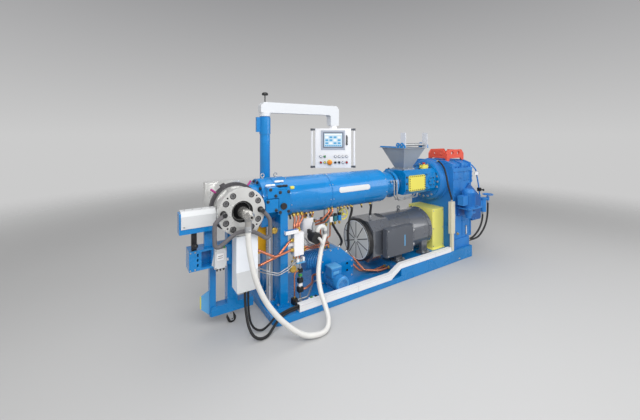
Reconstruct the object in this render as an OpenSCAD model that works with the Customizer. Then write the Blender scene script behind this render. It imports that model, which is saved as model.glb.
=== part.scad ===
// Rubber extruder with a right-angle crosshead, hopper, gearbox and swing-arm control panel.
// Millimetres. X runs along the barrel from the crosshead to the gearbox, -Y is the operator's side,
// +Z is up, and the origin is on the floor under the middle of the base frame.

/* [Base frame] */
// Front end of the base frame, in front of the origin
base_front = 1425; // [1380:5:1500]
// Rear end of the base frame, behind the origin
base_rear = 1500; // [1495:5:1650]
// Width of the base frame
base_w = 760; // [720:5:820]
// Height of the low front deck
low_h = 60; // [50:1:75]
// Height of the rear platform that carries the motor and the gearbox
high_h = 150; // [140:1:160]
// Where the rear platform begins
step_x = 124; // [90:1:140]
// Radius of the front corners of the base frame
corner_r = 60; // [20:1:90]
// Width of the white cable duct
duct_w = 50; // [35:1:60]
// Height of the cable duct on the low deck
duct_low_h = 65; // [50:1:80]
// Height of the cable duct on the rear platform
duct_high_h = 53; // [40:1:70]
// Wall thickness of the cable duct
duct_t = 4; // [2:0.5:6]

/* [Barrel] */
// Height of the barrel axis above the floor
axis_z = 1040; // [1035:1:1045]
// Radius of the heating jackets
jacket_r = 194; // [175:1:200]
// Front end of the front jacket
jacket_front = -1180; // [-1190:1:-1150]
// Length of the front jacket
jacket_front_len = 490; // [420:1:560]
// Length of the rear jacket
jacket_rear_len = 794; // [740:1:840]
// Chamfer on the jacket ends
jacket_chamfer = 6; // [2:0.5:12]
// Radius of the bare barrel behind the jackets
neck_r = 150; // [130:1:160]
// Length of the bare barrel
neck_len = 216; // [180:1:230]
// Radius of the coupling in front of the feed box
coupling_r = 105; // [80:1:120]
// Length of the gap at that coupling
coupling_len = 80; // [60:1:100]
// Thickness of the barrel's front flange
flange_t = 140; // [120:1:160]
// Thickness of the flange on the head's side
head_flange_t = 130; // [110:1:150]
// Half width of the flange ears
ear_half_w = 225; // [210:1:240]
// Radius of the hinge pins in the flange ears
pin_r = 30; // [20:1:36]

/* [Feed box and hopper] */
// Length of the feed box along the barrel
feed_len = 575; // [565:1:575]
// Half width of the feed box
feed_half_w = 190; // [180:1:200]
// Height of the feed box above the barrel axis
feed_up = 173; // [165:1:180]
// Depth of the feed box below the barrel axis
feed_down = 130; // [120:1:150]
// Chamfer along the top edges of the feed box
feed_chamfer = 45; // [20:1:60]
// Thickness of the cover plates on the feed box
cover_t = 15; // [8:1:22]
// Side of the square feed throat
throat = 140; // [110:1:150]
// Side of the square hopper mouth
mouth = 385; // [350:1:400]
// Height of the hopper above its foot flange
hopper_h = 272; // [230:1:300]
// Thickness of the hopper's foot flange
foot_t = 10; // [6:1:16]
// Sheet thickness of the hopper
sheet_t = 4; // [3:0.5:6]
// Width of the flange round the hopper mouth
rim_w = 26; // [20:1:34]
// Radius of the guide rollers at the hopper mouth
roller_r = 16; // [12:0.5:18]
// Radius of the roller journals
journal_r = 8; // [6:0.5:10]
// Side gap between a guide roller and its plates
roller_gap = 6; // [5:0.5:8]
// Radial gap round the roller journals
journal_gap = 0.3; // [0.2:0.05:0.5]
// Height of the guide plates above the hopper mouth
guide_h = 190; // [150:5:230]

/* [Gearbox] */
// Front face of the gearbox case
gear_front = 1135; // [1130:1:1140]
// Length of the gearbox case
gear_len = 425; // [410:1:440]
// Half width of the gearbox case
gear_half_w = 330; // [315:1:335]
// Height of the sump above the platform
sump_h = 117; // [100:1:130]
// How far the flanges stand out from the case
lip = 14; // [8:1:20]
// Height of the lid's split line above the barrel axis
lid_up = 150; // [140:1:165]
// Height of the lid
lid_h = 120; // [100:1:140]
// Radius of the thrust bearing housing
thrust_r = 275; // [255:1:290]
// Height of the lifting yoke on the lid
yoke_h = 145; // [110:1:170]
// Plate thickness of the lifting yoke
yoke_t = 24; // [16:1:32]
// Radius of the oil pump motor
oil_motor_r = 75; // [60:1:80]
// Radius of the oil filter
filter_r = 40; // [30:1:50]

/* [Drive motor] */
// Height of the motor axis above the platform
motor_h = 280; // [275:1:290]
// Radius of the motor body
motor_r = 255; // [240:1:262]
// Length of the motor without its shaft
motor_len = 1090; // [1060:1:1110]
// Bare shaft between the motor and the coupling guard
shaft_len = 35; // [25:1:60]
// Radius of the fan cover
fan_r = 240; // [220:1:250]
// Number of grooves in the fan cover
fan_grooves = 10; // [6:1:16]
// Depth of the terminal box
terminal_d = 68; // [50:1:90]
// Length of the coupling guard
guard_len = 230; // [180:1:240]
// Clear deck beside the coupling guard
guard_gap = 180; // [150:1:200]
// Height of the coupling guard above the platform
guard_h = 530; // [480:1:560]

/* [Crosshead] */
// Distance of the crosshead axis from the origin
head_x = -1710; // [-1715:1:-1705]
// Radius of the crosshead body
head_r = 182; // [176:1:186]
// Radius of the bolted front disc
disc_r = 193; // [188:1:198]
// Thickness of the front disc
disc_t = 50; // [40:1:60]
// Radius of the die bore in the front disc
die_r = 87; // [75:1:95]
// Pitch radius of the clamping bolts
bolt_pitch_r = 152; // [146:1:156]
// Radius of the counterbores for the clamping bolts
bolt_pocket_r = 25; // [20:0.5:27]
// Depth of those counterbores
bolt_pocket_d = 30; // [20:1:36]
// Radius of the guide nose that the core runs through
nose_r = 40; // [34:1:46]
// Length of the guide nose in front of the disc
nose_len = 215; // [180:1:230]
// Radius of the hole for the core in the guide nose
core_r = 9; // [6:0.5:12]
// Radius of the insulated tempering pipe
temper_r = 16; // [12:0.5:18]
// Radius of the wheel of the support caster
wheel_r = 38; // [36:0.5:40]
// Width of that wheel
wheel_w = 40; // [30:1:44]
// Radius of the wheel's axle
axle_r = 6; // [5:0.5:8]
// Radial gap between axle and fork
axle_gap = 0.05; // [0.02:0.01:0.1]

/* [Control panel] */
// Radius of the mast tube
mast_r = 55; // [45:1:60]
// Height of the mast tube
mast_top = 1857; // [1840:1:1900]
// Reach of the swing arm from mast to panel
arm_reach = 890; // [860:5:910]
// Height of the swing arm's box section
arm_h = 112; // [90:1:120]
// Width of the swing arm's box section
arm_w = 90; // [70:1:100]
// Width of the panel housing
panel_w = 440; // [400:5:450]
// Height of the panel housing
panel_h = 480; // [440:5:485]
// Depth of the panel housing
panel_d = 110; // [90:1:130]
// Radius of the handle bars at the panel's sides
bar_r = 12; // [9:0.5:15]
// Clear gap behind the handle bars
bar_gap = 27; // [24:1:36]
// Width of the screen
screen_w = 220; // [180:1:240]
// Height of the screen
screen_h = 162; // [140:1:180]
// Gap between parts that turn on each other
swivel_gap = 0.5; // [0.3:0.1:1]

/* [Hoses and pipes] */
// Radius of the white vacuum hose
hose_r = 22; // [18:0.5:24]
// Radius of the black cables from the head to the duct
cable_r = 11; // [9:0.5:12]
// Radius of the oil hoses at the gearbox
oil_r = 12; // [9:0.5:13]
// Radius of the black hoses under the barrel
temper_hose_r = 14; // [10:0.5:16]
// Radius of the copper pipes
copper_r = 9; // [6:0.5:11]

/* [Hidden] */
$fn = 48;

half_w = base_w / 2;
seam_x = jacket_front + jacket_front_len;
neck_x = seam_x + jacket_rear_len;
feed_x = neck_x + neck_len + coupling_len;
feed_end = feed_x + feed_len;
thrust_x = feed_end + 25;
feed_top = axis_z + feed_up;
hopper_x = feed_x + throat * 1.2;
hopper_z = feed_top + foot_t;
hopper_top = hopper_z + hopper_h;
rim_half = mouth / 2 + sheet_t;
roller_y = [-rim_half + 22, -rim_half + 88];
roller_z = hopper_top + 40;
motor_z = high_h + motor_h;
gear_rear = gear_front + gear_len;
gear_y = -gear_half_w;
sump_top = high_h + sump_h;
lid_z = axis_z + lid_up;
lid_top = lid_z + lid_h;
oil_z = axis_z - 350;
guard_end = gear_front - 5;
guard_x = guard_end - guard_len;
guard_half_w = half_w - guard_gap;
motor_rear = guard_x - shaft_len;
motor_front = motor_rear - motor_len;
mast_x = -1236;
mast_y = ear_half_w + mast_r + 20;
arm_x = mast_x + arm_reach;
arm_z = mast_top + 40;
panel_top = arm_z - 160;
panel_turn = -30;
disc_y = -390;
disc_back = disc_y + disc_t;
head_flat_x = head_x + head_r - 17;
head_flat_z = axis_z - head_r + 10;
flange_x = jacket_front - flange_t;
head_flange_x = flange_x - head_flange_t;
saddle_z = axis_z - 260;
post_x = flange_x + 22;
column_y = -78;
column_half = 42;
column_front = column_y - column_half;
plinth_z = 110;
cover_top = axis_z - disc_r - 4;
cover_z = 400;
caster_x = head_x - 24;
pump_x = motor_front - 406;
pump_y = duct_w - half_w + 4;
pump_z = low_h + 85;

blue = [0.10, 0.44, 0.72];
violet = [0.24, 0.42, 0.75];
grey = [0.36, 0.36, 0.38];
pale = [0.80, 0.79, 0.76];
white = [0.93, 0.93, 0.94];
yellow = [0.95, 0.91, 0.40];
black = [0.05, 0.05, 0.05];
copper = [0.72, 0.40, 0.29];

// Box between two corners
module blk(a, b) {
  translate(a) cube(b - a);
}

// Box with rounded upright edges
module rblk(a, b, r) {
  blk([a[0] + r, a[1], a[2]], [b[0] - r, b[1], b[2]]);
  blk([a[0], a[1] + r, a[2]], [b[0], b[1] - r, b[2]]);
  for (x = [a[0] + r, b[0] - r], y = [a[1] + r, b[1] - r])
    translate([x, y, a[2]]) cylinder(r = r, h = b[2] - a[2]);
}

// Cylinders along each axis, from a start point
module cx(p, r, l) {
  translate(p) rotate([0, 90, 0]) cylinder(r = r, h = l);
}

module cy(p, r, l) {
  translate(p) rotate([-90, 0, 0]) cylinder(r = r, h = l);
}

module cz(p, r, l) {
  translate(p) cylinder(r = r, h = l);
}

// Profiles drawn in the YZ and XZ planes and pulled along the third axis
module yz(x0, x1) {
  translate([x0, 0, 0]) rotate([90, 0, 90]) linear_extrude(x1 - x0) children();
}

module xz(y0, y1) {
  translate([0, y1, 0]) rotate([90, 0, 0]) linear_extrude(y1 - y0) children();
}

// Profile of radius against X, turned round the barrel axis
module turned_x(points, z) {
  translate([0, 0, z]) rotate([0, 90, 0]) rotate_extrude($fn = 72) polygon(points);
}

function unit(v) = v / norm(v);

// Side directions of the rings of a hose, carried along its route without twist
function rings(dirs, u, i = 0) = i == len(dirs) ? [] :
  let (w = unit(u - (u * dirs[i]) * dirs[i])) concat([w], rings(dirs, w, i + 1));

// Flexible hose through a list of route points, with flat ends square to first and last
module hose(route, r, sides, first, last) {
  n = len(route);
  dirs = [for (i = [0:n - 1]) unit(i == 0 ? first : i == n - 1 ? last : route[i + 1] - route[i - 1])];
  us = rings(dirs, cross(dirs[0], abs(dirs[0][2]) < 0.9 ? [0, 0, 1] : [1, 0, 0]));
  pts = [for (i = [0:n - 1]) let (v = cross(dirs[i], us[i])) for (k = [0:sides - 1])
    route[i] + r * (cos(360 * k / sides) * us[i] + sin(360 * k / sides) * v)];
  walls = [for (i = [0:n - 2], k = [0:sides - 1]) let (m = (k + 1) % sides)
    each [[i * sides + k, (i + 1) * sides + m, i * sides + m],
      [i * sides + k, (i + 1) * sides + k, (i + 1) * sides + m]]];
  polyhedron(points = pts, faces = concat(walls, [[for (k = [0:sides - 1]) k]],
    [[for (k = [sides - 1:-1:0]) (n - 1) * sides + k]]));
}

// Route with its corners rounded, which trims this length off each side of a corner
function bent(p, trim) = [for (i = [0:len(p) - 1]) each i == 0 || i == len(p) - 1 ? [p[i]] :
  let (a = trim * unit(p[i - 1] - p[i]), b = trim * unit(p[i + 1] - p[i]))
    [p[i] + a, p[i] + (a + b) / 4, p[i] + b]];

// Rigid pipe with bends through a list of corner points
module pipe(points, r, trim) {
  n = len(points);
  hose(bent(points, trim), r, 12, points[1] - points[0], points[n - 1] - points[n - 2]);
}

module base_frame() {
  color(blue) {
    rblk([-base_front, -half_w, 0], [0, half_w, low_h], corner_r);
    blk([-corner_r - 1, -half_w, 0], [step_x, half_w, low_h]);
    blk([step_x, -half_w, 0], [base_rear, half_w, high_h]);
  }
}

// Trunking along the operator's side, open at its front mouth and stepped up at the platform
module cable_duct() {
  y0 = -half_w;
  y1 = duct_w - half_w;
  x0 = jacket_front;
  x1 = step_x - 158;
  color(white) {
    difference() {
      blk([x0, y0, low_h], [x1, y1, low_h + duct_low_h]);
      blk([x0 - 1, y0 + duct_t, low_h + duct_t], [x0 + 160, y1 - duct_t, low_h + duct_low_h - duct_t]);
    }
    xz(y0, y1) polygon([[x1, low_h], [step_x, high_h], [step_x, high_h + duct_high_h],
      [x1, low_h + duct_low_h]]);
    blk([step_x, y0, high_h], [gear_front - 92, y1, high_h + duct_high_h]);
  }
}

module front_support() {
  color(blue) {
    blk([flange_x, -ear_half_w, low_h], [flange_x + 120, ear_half_w, low_h + 20]);
    for (s = [-1, 1]) {
      blk([post_x, s > 0 ? 70 : -ear_half_w, low_h + 20],
        [post_x + 76, s > 0 ? ear_half_w : -70, saddle_z]);
      xz(s > 0 ? 140 : -150, s > 0 ? 150 : -140) polygon([[post_x, low_h + 20],
        [post_x - 22, low_h + 20], [post_x, low_h + 140]]);
    }
  }
}

// Flange that ties the barrel to its support, with ears, clamp screws and hinge pins
module clamp_block() {
  color(blue) difference() {
    union() {
      cx([flange_x, 0, axis_z], jacket_r + 8, flange_t);
      blk([flange_x, -ear_half_w, axis_z - 115], [jacket_front - 20, ear_half_w, axis_z + 110]);
      blk([post_x, -ear_half_w, saddle_z], [post_x + 76, ear_half_w, axis_z - 100]);
    }
    for (s = [-1, 1]) blk([flange_x - 1, s > 0 ? ear_half_w - 25 : -ear_half_w - 1, axis_z - 84],
      [flange_x + 8, s > 0 ? ear_half_w + 1 : 25 - ear_half_w, axis_z + 36]);
  }
  color(grey) for (s = [-1, 1])
    cy([flange_x + 52, s > 0 ? ear_half_w : -ear_half_w - 18, axis_z - 41], pin_r, 18);
}

module head_adapter() {
  color(blue) {
    cx([head_flat_x, 0, axis_z], neck_r, head_flange_x - head_flat_x);
    cx([head_flange_x, 0, axis_z], jacket_r + 4, head_flange_t);
    blk([head_flange_x + 6, -ear_half_w - 10, axis_z - 84], [flange_x - 2, ear_half_w + 10, axis_z + 34]);
    blk([head_flange_x + 28, -ear_half_w, axis_z + 40], [flange_x, ear_half_w, axis_z + 138]);
    blk([head_flange_x + 10, -120, axis_z - 240], [flange_x - 20, 120, axis_z - 150]);
  }
}

// Heating jacket with chamfered ends
module jacket(x0, x1) {
  turned_x([[0, x0], [jacket_r - jacket_chamfer, x0], [jacket_r, x0 + jacket_chamfer],
    [jacket_r, x1 - jacket_chamfer], [jacket_r - jacket_chamfer, x1], [0, x1]], axis_z);
}

module barrel_front() {
  color(blue) jacket(jacket_front, seam_x);
}

module barrel_rear() {
  color(blue) jacket(seam_x, neck_x);
}

module barrel_neck() {
  color(blue) turned_x([[0, neck_x], [neck_r, neck_x], [neck_r, neck_x + neck_len - 40],
    [neck_r + 16, neck_x + neck_len - 36], [neck_r + 16, neck_x + neck_len],
    [coupling_r, neck_x + neck_len], [coupling_r, feed_x], [0, feed_x]], axis_z);
}

// Feed casting with chamfered shoulders and the square throat for the hopper
module feed_box() {
  c = feed_chamfer;
  w = feed_half_w;
  color(blue) difference() {
    yz(feed_x, feed_end) polygon([[-w, axis_z - feed_down + c], [-w, feed_top - c], [c - w, feed_top],
      [w - c, feed_top], [w, feed_top - c], [w, axis_z - feed_down + c],
      [w - c, axis_z - feed_down], [c - w, axis_z - feed_down]]);
    blk([hopper_x - throat / 2, -throat / 2, axis_z], [hopper_x + throat / 2, throat / 2, feed_top + 1]);
  }
}

module feed_cover() {
  color(yellow) xz(-feed_half_w - cover_t, -feed_half_w) polygon([
    [feed_x + 54, axis_z - 70], [feed_x + 69, axis_z - 85], [feed_x + 339, axis_z - 85],
    [feed_x + 354, axis_z - 70], [feed_x + 354, axis_z + 95], [feed_x + 339, axis_z + 110],
    [feed_x + 69, axis_z + 110], [feed_x + 54, axis_z + 95]]);
}

module feed_side_plate() {
  color(blue) {
    blk([feed_x + 364, -feed_half_w - cover_t, axis_z - 80],
      [feed_end - 5, -feed_half_w, axis_z + feed_up - feed_chamfer - 8]);
    cy([feed_x + 470, -feed_half_w - cover_t - 12, axis_z + 15], 62, 12);
  }
}

// Pull-cord stop switch with its dome
module estop_box() {
  z = feed_top;
  color(yellow) {
    rblk([feed_x + 390, -135, z], [feed_x + 500, -75, z + 46], 12);
    cx([feed_x + 362, -105, z + 23], 9, 166);
    cz([feed_x + 445, -105, z + 46], 12, 14);
  }
  color([0.8, 0.1, 0.1]) cz([feed_x + 445, -105, z + 60], 19, 16);
}

module hopper() {
  t = throat / 2;
  grow = (mouth + 2 * sheet_t) / (throat + 2 * sheet_t);
  color([0.54, 0.57, 0.61]) {
    difference() {
      blk([hopper_x - t - 30, -t - 30, feed_top], [hopper_x + t + 30, t + 30, hopper_z]);
      blk([hopper_x - t, -t, feed_top - 1], [hopper_x + t, t, hopper_z + 1]);
    }
    translate([hopper_x, 0, hopper_z]) difference() {
      linear_extrude(hopper_h, scale = grow) square(throat + 2 * sheet_t, center = true);
      linear_extrude(hopper_h, scale = mouth / throat) square(throat, center = true);
    }
    difference() {
      blk([hopper_x - rim_half - rim_w, -rim_half - rim_w, hopper_top - sheet_t],
        [hopper_x + rim_half + rim_w, rim_half + rim_w, hopper_top]);
      blk([hopper_x - mouth / 2, -mouth / 2, hopper_top - sheet_t - 1],
        [hopper_x + mouth / 2, mouth / 2, hopper_top + 1]);
    }
  }
}

// Bearing brackets and upright guide plates that carry the two strip rollers
module hopper_brackets() {
  x0 = hopper_x - rim_half;
  x1 = hopper_x + rim_half;
  y0 = -rim_half - rim_w;
  difference() {
    union() {
      color(blue) {
        blk([x0 - rim_w, y0, hopper_top], [x0 - 8, rim_half, hopper_top + 18]);
        for (x = [x0 - 20, x1 + 8]) {
          blk([x, y0, hopper_top], [x + 12, y0 + 145, roller_z]);
          for (y = roller_y) cx([x, y, roller_z], 26, 12);
        }
        blk([x1 + 8, y0, hopper_top], [x1 + rim_w, y0 + 145, hopper_top + 12]);
      }
      color([0.7, 0.73, 0.78]) for (x = [x0 - 8, x1])
        blk([x, y0, hopper_top], [x + 8, y0 + 78, hopper_top + guide_h]);
    }
    for (y = roller_y) cx([x0 - 30, y, roller_z], journal_r + journal_gap, x1 - x0 + 60);
  }
}

module strip_roller(y) {
  x0 = hopper_x - rim_half;
  x1 = hopper_x + rim_half;
  color(pale) {
    cx([x0 + roller_gap, y, roller_z], roller_r, x1 - x0 - 2 * roller_gap);
    cx([x0 - 22, y, roller_z], journal_r, x1 - x0 + 44);
  }
}

module feed_roller() {
  strip_roller(roller_y[0]);
}

module feed_roller_back() {
  strip_roller(roller_y[1]);
}

module thrust_housing() {
  color(violet) turned_x([[0, feed_end], [thrust_r - 35, feed_end], [thrust_r - 35, thrust_x],
    [thrust_r - 30, thrust_x], [thrust_r - 8, thrust_x + 14], [thrust_r, thrust_x + 34],
    [thrust_r, gear_front - 30], [thrust_r + 14, gear_front - 26], [thrust_r + 14, gear_front],
    [0, gear_front]], axis_z);
}

// Cast case with corner flanges, stiffening ribs and a wider sump
module gearbox_case() {
  color(violet) {
    blk([gear_front, gear_y - lip, high_h], [gear_rear - 70, gear_half_w + lip, sump_top]);
    blk([gear_front, gear_y, sump_top], [gear_rear, gear_half_w, lid_z]);
    for (s = [-1, 1]) {
      y0 = s > 0 ? gear_half_w : gear_y - lip;
      blk([gear_front, y0, sump_top], [gear_front + 20, y0 + lip, lid_z]);
      blk([gear_rear - 20, y0, axis_z - 40], [gear_rear, y0 + lip, lid_z]);
      blk([gear_front + 20, y0, lid_z - 24], [gear_rear - 20, y0 + lip, lid_z]);
      blk([gear_front + 20, y0, axis_z - 160], [gear_front + 70, y0 + lip, axis_z - 140]);
    }
  }
}

// Lid with sloped shoulders, a flange at its split line and end walls like a roof
module gearbox_lid() {
  w = gear_half_w + lip;
  color(violet) {
    blk([gear_front, -w, lid_z], [gear_rear + 8, w, lid_z + 22]);
    yz(gear_front + 24, gear_rear - 24) polygon([[gear_y + 20, lid_z + 22], [gear_y + 20, lid_z + 64],
      [gear_y + 120, lid_top - 10], [-gear_y - 120, lid_top - 10], [-gear_y - 20, lid_z + 64],
      [-gear_y - 20, lid_z + 22]]);
    for (x = [gear_front, gear_front + gear_len / 2 - 8, gear_rear - 24])
      yz(x, x + (x == gear_front || x == gear_rear - 24 ? 24 : 16)) polygon([[gear_y, lid_z + 22],
        [gear_y, lid_z + 84], [gear_y + 110, lid_top], [-gear_y - 110, lid_top],
        [-gear_y, lid_z + 84], [-gear_y, lid_z + 22]]);
  }
}

// Welded lifting frame: two arched side plates with eyes and two end plates with windows
module lifting_yoke() {
  x0 = gear_front + 45;
  x1 = gear_rear;
  y0 = gear_y + 112;
  y1 = 84;
  z = lid_top;
  h = yoke_h;
  m = (x0 + x1) / 2;
  n = (y0 + y1) / 2;
  color([0.91, 0.38, 0.30]) {
    for (y = [y0, y1 - yoke_t]) xz(y, y + yoke_t) difference() {
      polygon([[x0, z - 10], [x0, z + h * 0.62], [x0 + 50, z + h], [x1 - 50, z + h], [x1, z + h * 0.62],
        [x1, z], [x1 - 46, z], [x1 - 66, z + 26], [x0 + 66, z + 26], [x0 + 46, z - 10]]);
      for (x = [m - 68, m + 68]) translate([x, z + h * 0.66]) circle(r = 27);
    }
    for (x = [x0, x1 - yoke_t]) yz(x, x + yoke_t) difference() {
      polygon([[y0 + yoke_t, z + 26], [y0 + yoke_t, z + h * 0.6], [y0 + 60, z + h * 0.94],
        [y1 - 60, z + h * 0.94], [y1 - yoke_t, z + h * 0.6], [y1 - yoke_t, z + 26]]);
      translate([n - 76, z + h * 0.38]) square([152, h * 0.3]);
    }
  }
}

// Upright flange motor over a gear pump, on a shelf at the case
module oil_pump() {
  x = gear_front + 195;
  y = gear_y - 105;
  z = oil_z + 15;
  color(violet) {
    translate([x, y, 0]) rotate_extrude($fn = 60) polygon([[0, z], [oil_motor_r, z],
      [oil_motor_r, z + 200], [oil_motor_r - 8, z + 224], [oil_motor_r - 30, z + 238], [0, z + 242]]);
    blk([x - 180, y - 40, z + 40], [x - oil_motor_r + 12, y + 40, z + 160]);
    rblk([x - 130, y - 85, oil_z], [x + 190, gear_y - 20, z], 12);
    cz([x, y, oil_z - 90], 50, 90);
    cz([x, y, oil_z - 130], 34, 40);
    cx([x, y, oil_z - 70], 22, 130);
  }
}

// Mounting plate with filter, stop valve with handwheel, and the level gauge on the end wall
module oil_filter() {
  x = gear_rear + 285;
  y = gear_y - 10;
  z = oil_z;
  color(violet) {
    xz(gear_y - 20, gear_y) polygon([[gear_front + 90, z - 110], [gear_front + 90, z + 40],
      [gear_rear - 73, z + 306], [gear_rear + 215, z + 80], [gear_rear + 208, z - 200],
      [gear_rear + 190, z - 220], [gear_rear - 8, z - 220], [gear_rear - 70, z - 110]]);
    blk([gear_rear + 190, y - 10, z - 60], [x, y + 10, z + 30]);
    cz([x, y, z - 133], filter_r, 200);
    cz([x, y, z + 50], filter_r + 8, 18);
    cx([x, y, z + 40], 13, 130);
    cz([x + 120, y, z + 14], 22, 56);
    cz([x + 120, y, z + 70], 7, 36);
    translate([x + 120, y, z + 100]) {
      rotate_extrude($fn = 48) translate([66, 0]) circle(r = 7, $fn = 24);
      for (a = [0:120:240]) rotate([0, 0, a]) cx([0, 0, 0], 6, 64);
    }
  }
  color(pale) {
    for (a = [axis_z - 90, axis_z + 40]) cx([gear_rear, gear_y + 40, a], 7, 18);
    cz([gear_rear + 18, gear_y + 40, axis_z - 140], 8, 236);
    cy([gear_rear + 32, gear_y + 24, axis_z + 110], 28, 32);
  }
}

module cable_conduit() {
  x = gear_front - 95;
  color([0.85, 0.83, 0.74]) {
    blk([x, -half_w, 376], [x + 80, 42 - half_w, 790]);
    blk([x + 20, 5 - half_w, high_h], [x + 64, 35 - half_w, 376]);
    blk([x + 80, 8 - half_w, 560], [gear_front, 42 - half_w, 620]);
  }
}

// Drive motor: octagonal fan hood, round stator with feet and an eye bolt, end shield and shaft
module motor_body() {
  h = fan_r - 6;
  c = 92;
  x0 = motor_front + 60;
  x1 = x0 + 300;
  color(grey) {
    yz(x0, x1) polygon([[-h, motor_z - h + c], [-h, motor_z + h - c], [c - h, motor_z + h],
      [h - c, motor_z + h], [h, motor_z + h - c], [h, motor_z - h + c],
      [h - c, motor_z - h], [c - h, motor_z - h]]);
    turned_x([[0, x1], [motor_r, x1], [motor_r, x1 + 14], [motor_r - 5, x1 + 14],
      [motor_r - 5, motor_rear - 95], [motor_r, motor_rear - 95], [motor_r, motor_rear - 40],
      [motor_r - 18, motor_rear - 12], [motor_r - 60, motor_rear], [0, motor_rear]], motor_z);
    for (x = [motor_rear - 678, motor_rear - 225], s = [-1, 1]) {
      blk([x, s > 0 ? 150 : -265, high_h], [x + 130, s > 0 ? 265 : -150, high_h + 26]);
      blk([x + 15, s > 0 ? 185 : -225, high_h + 26], [x + 115, s > 0 ? 225 : -185, motor_z - 60]);
    }
    blk([x1 - 60, -motor_r - 7, motor_z - 120], [x1 + 190, -180, motor_z + 120]);
    cx([motor_rear, 0, motor_z], 45, guard_x - motor_rear);
    cz([motor_rear - 390, 0, motor_z + motor_r - 12], 20, 24);
    translate([motor_rear - 390, 0, motor_z + motor_r + 36]) rotate([90, 0, 0])
      rotate_extrude($fn = 36) translate([20, 0]) circle(r = 7, $fn = 20);
  }
}

// Fan cover with a raised rim and radial grooves
module motor_fan_cover() {
  color(pale) difference() {
    turned_x([[0, motor_front], [fan_r - 14, motor_front], [fan_r - 8, motor_front + 6],
      [fan_r, motor_front + 6], [fan_r, motor_front + 60], [0, motor_front + 60]], motor_z);
    for (i = [0:fan_grooves - 1]) translate([motor_front, 0, motor_z]) rotate([360 * i / fan_grooves, 0, 0])
      blk([-1, -4, 26], [7, 4, fan_r - 18]);
  }
}

module motor_terminal_box() {
  x0 = motor_front + 174;
  y1 = -motor_r - 7;
  z0 = motor_z - 150;
  color(grey) {
    blk([x0, y1 - terminal_d + 10, z0], [x0 + 433, y1, z0 + 320]);
    blk([x0 + 6, y1 - terminal_d, z0 + 6], [x0 + 427, y1 - terminal_d + 10, z0 + 314]);
    for (z = [z0 + 70, z0 + 240]) cx([x0 + 433, y1 - 34, z], 24, 30);
  }
}

module coupling_guard() {
  color(yellow) {
    blk([guard_x, -guard_half_w, high_h + 6], [guard_end, guard_half_w, high_h + guard_h]);
    blk([guard_x - 20, -guard_half_w - 22, high_h], [guard_end, guard_half_w + 22, high_h + 6]);
  }
}

// Sheet hood over the pump, with sloped shoulders and two holes in its front
module pump_housing() {
  y0 = pump_y + 246;
  x = pump_x;
  color(blue) difference() {
    xz(y0, y0 + 200) polygon([[x - 130, low_h], [x + 300, low_h], [x + 300, low_h + 205],
      [x + 130, low_h + 350], [x + 80, low_h + 368], [x - 100, low_h + 368], [x - 130, low_h + 338]]);
    for (z = [low_h + 90, low_h + 165]) cy([x + 215, y0 - 1, z], 13, 26);
  }
}

// Small pump motor with terminal box and foot, and a second finned motor behind it
module pump_motor() {
  x = pump_x;
  m = x - 20;
  color(blue) {
    translate([m, pump_y, pump_z]) rotate([-90, 0, 0]) rotate_extrude($fn = 60) polygon([[0, 0], [66, 0],
      [80, 10], [80, 74], [72, 74], [72, 216], [84, 216], [84, 246], [0, 246]]);
    for (a = [0:20:340]) translate([m, pump_y + 80, pump_z]) rotate([0, a, 0])
      blk([68, 0, -2], [80, 130, 2]);
    blk([m - 80, pump_y + 90, pump_z + 50], [m + 40, pump_y + 206, pump_z + 150]);
    blk([m - 70, pump_y + 100, low_h], [m + 70, pump_y + 200, pump_z - 60]);
    cx([x - 300, pump_y + 330, low_h + 270], 78, 170);
    for (i = [0:7]) cx([x - 290 + 20 * i, pump_y + 330, low_h + 270], 95, 8);
  }
}

// Valve manifold on the support post, solenoid, and the header tank under the barrel
module valve_group() {
  x = post_x + 76;
  color(white) {
    rblk([x + 55, -250, 515], [x + 160, -170, 730], 8);
    blk([x, -220, 608], [x + 55, -190, 640]);
    blk([x - 40, -ear_half_w - 40, 735], [x + 92, -ear_half_w, 770]);
    rblk([x + 245, -80, 645], [x + 380, 10, 800], 30);
    difference() {
      blk([x + 290, -50, 800], [x + 330, -20, axis_z - jacket_r + 40]);
      cx([x, 0, axis_z], jacket_r + 0.3, 500);
    }
  }
}

// Copper tempering pipes under the barrel and the pair of steel pipes at the neck
module pipework() {
  x = post_x + 76;
  r = copper_r;
  down = [0, sin(38), cos(38)];
  up = [0, -cos(20), sin(20)];
  stand = head_x + column_half + 3;
  color(copper) {
    pipe([[x + 55, -234, 668], [x + 18, -234, 668], [x - 120, -262, 560], [x - 290, -240, 505],
      [x - 370, column_front + 20, 512], [stand, column_front + 20, 512]], r, 28);
    pipe([[x + 55, -234, 575], [x + 18, -234, 575], [x - 160, -290, 570], [x - 300, -240, 645],
      [x - 370, column_front + 20, 652], [stand, column_front + 20, 652]], r, 28);
    for (i = [0:2]) pipe([[x + 75 + 30 * i, -205 + 8 * i, 730], [x + 75 + 30 * i, -205 + 8 * i, 790],
      [x + 110 + 44 * i, 0, axis_z] - (jacket_r + 56) * down,
      [x + 110 + 44 * i, 0, axis_z] - (jacket_r + 0.3) * down], r, 22);
    pipe([[x + 160, -210, 545], [x + 225, -210, 545], [pump_x - 49, -20, 500],
      [pump_x - 49, -20, low_h + 368]], r, 26);
  }
  color(pale) for (i = [0, 1]) {
    px = neck_x + 90 + 46 * i;
    z = axis_z - 160 - 18 * i;
    pipe([[px, 0, axis_z] + (neck_r + 0.3) * up, [px, 0, axis_z] + (neck_r + 62) * up,
      [px, -feed_half_w - 14, axis_z - 110], [px + 60, -feed_half_w + 20, z],
      [feed_x + 150, -feed_half_w + 50, z], [feed_x + 230 + 60 * i, -feed_half_w + 70, z],
      [feed_x + 230 + 60 * i, -feed_half_w + 70, axis_z - feed_down]], 8, 13);
  }
}

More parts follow.
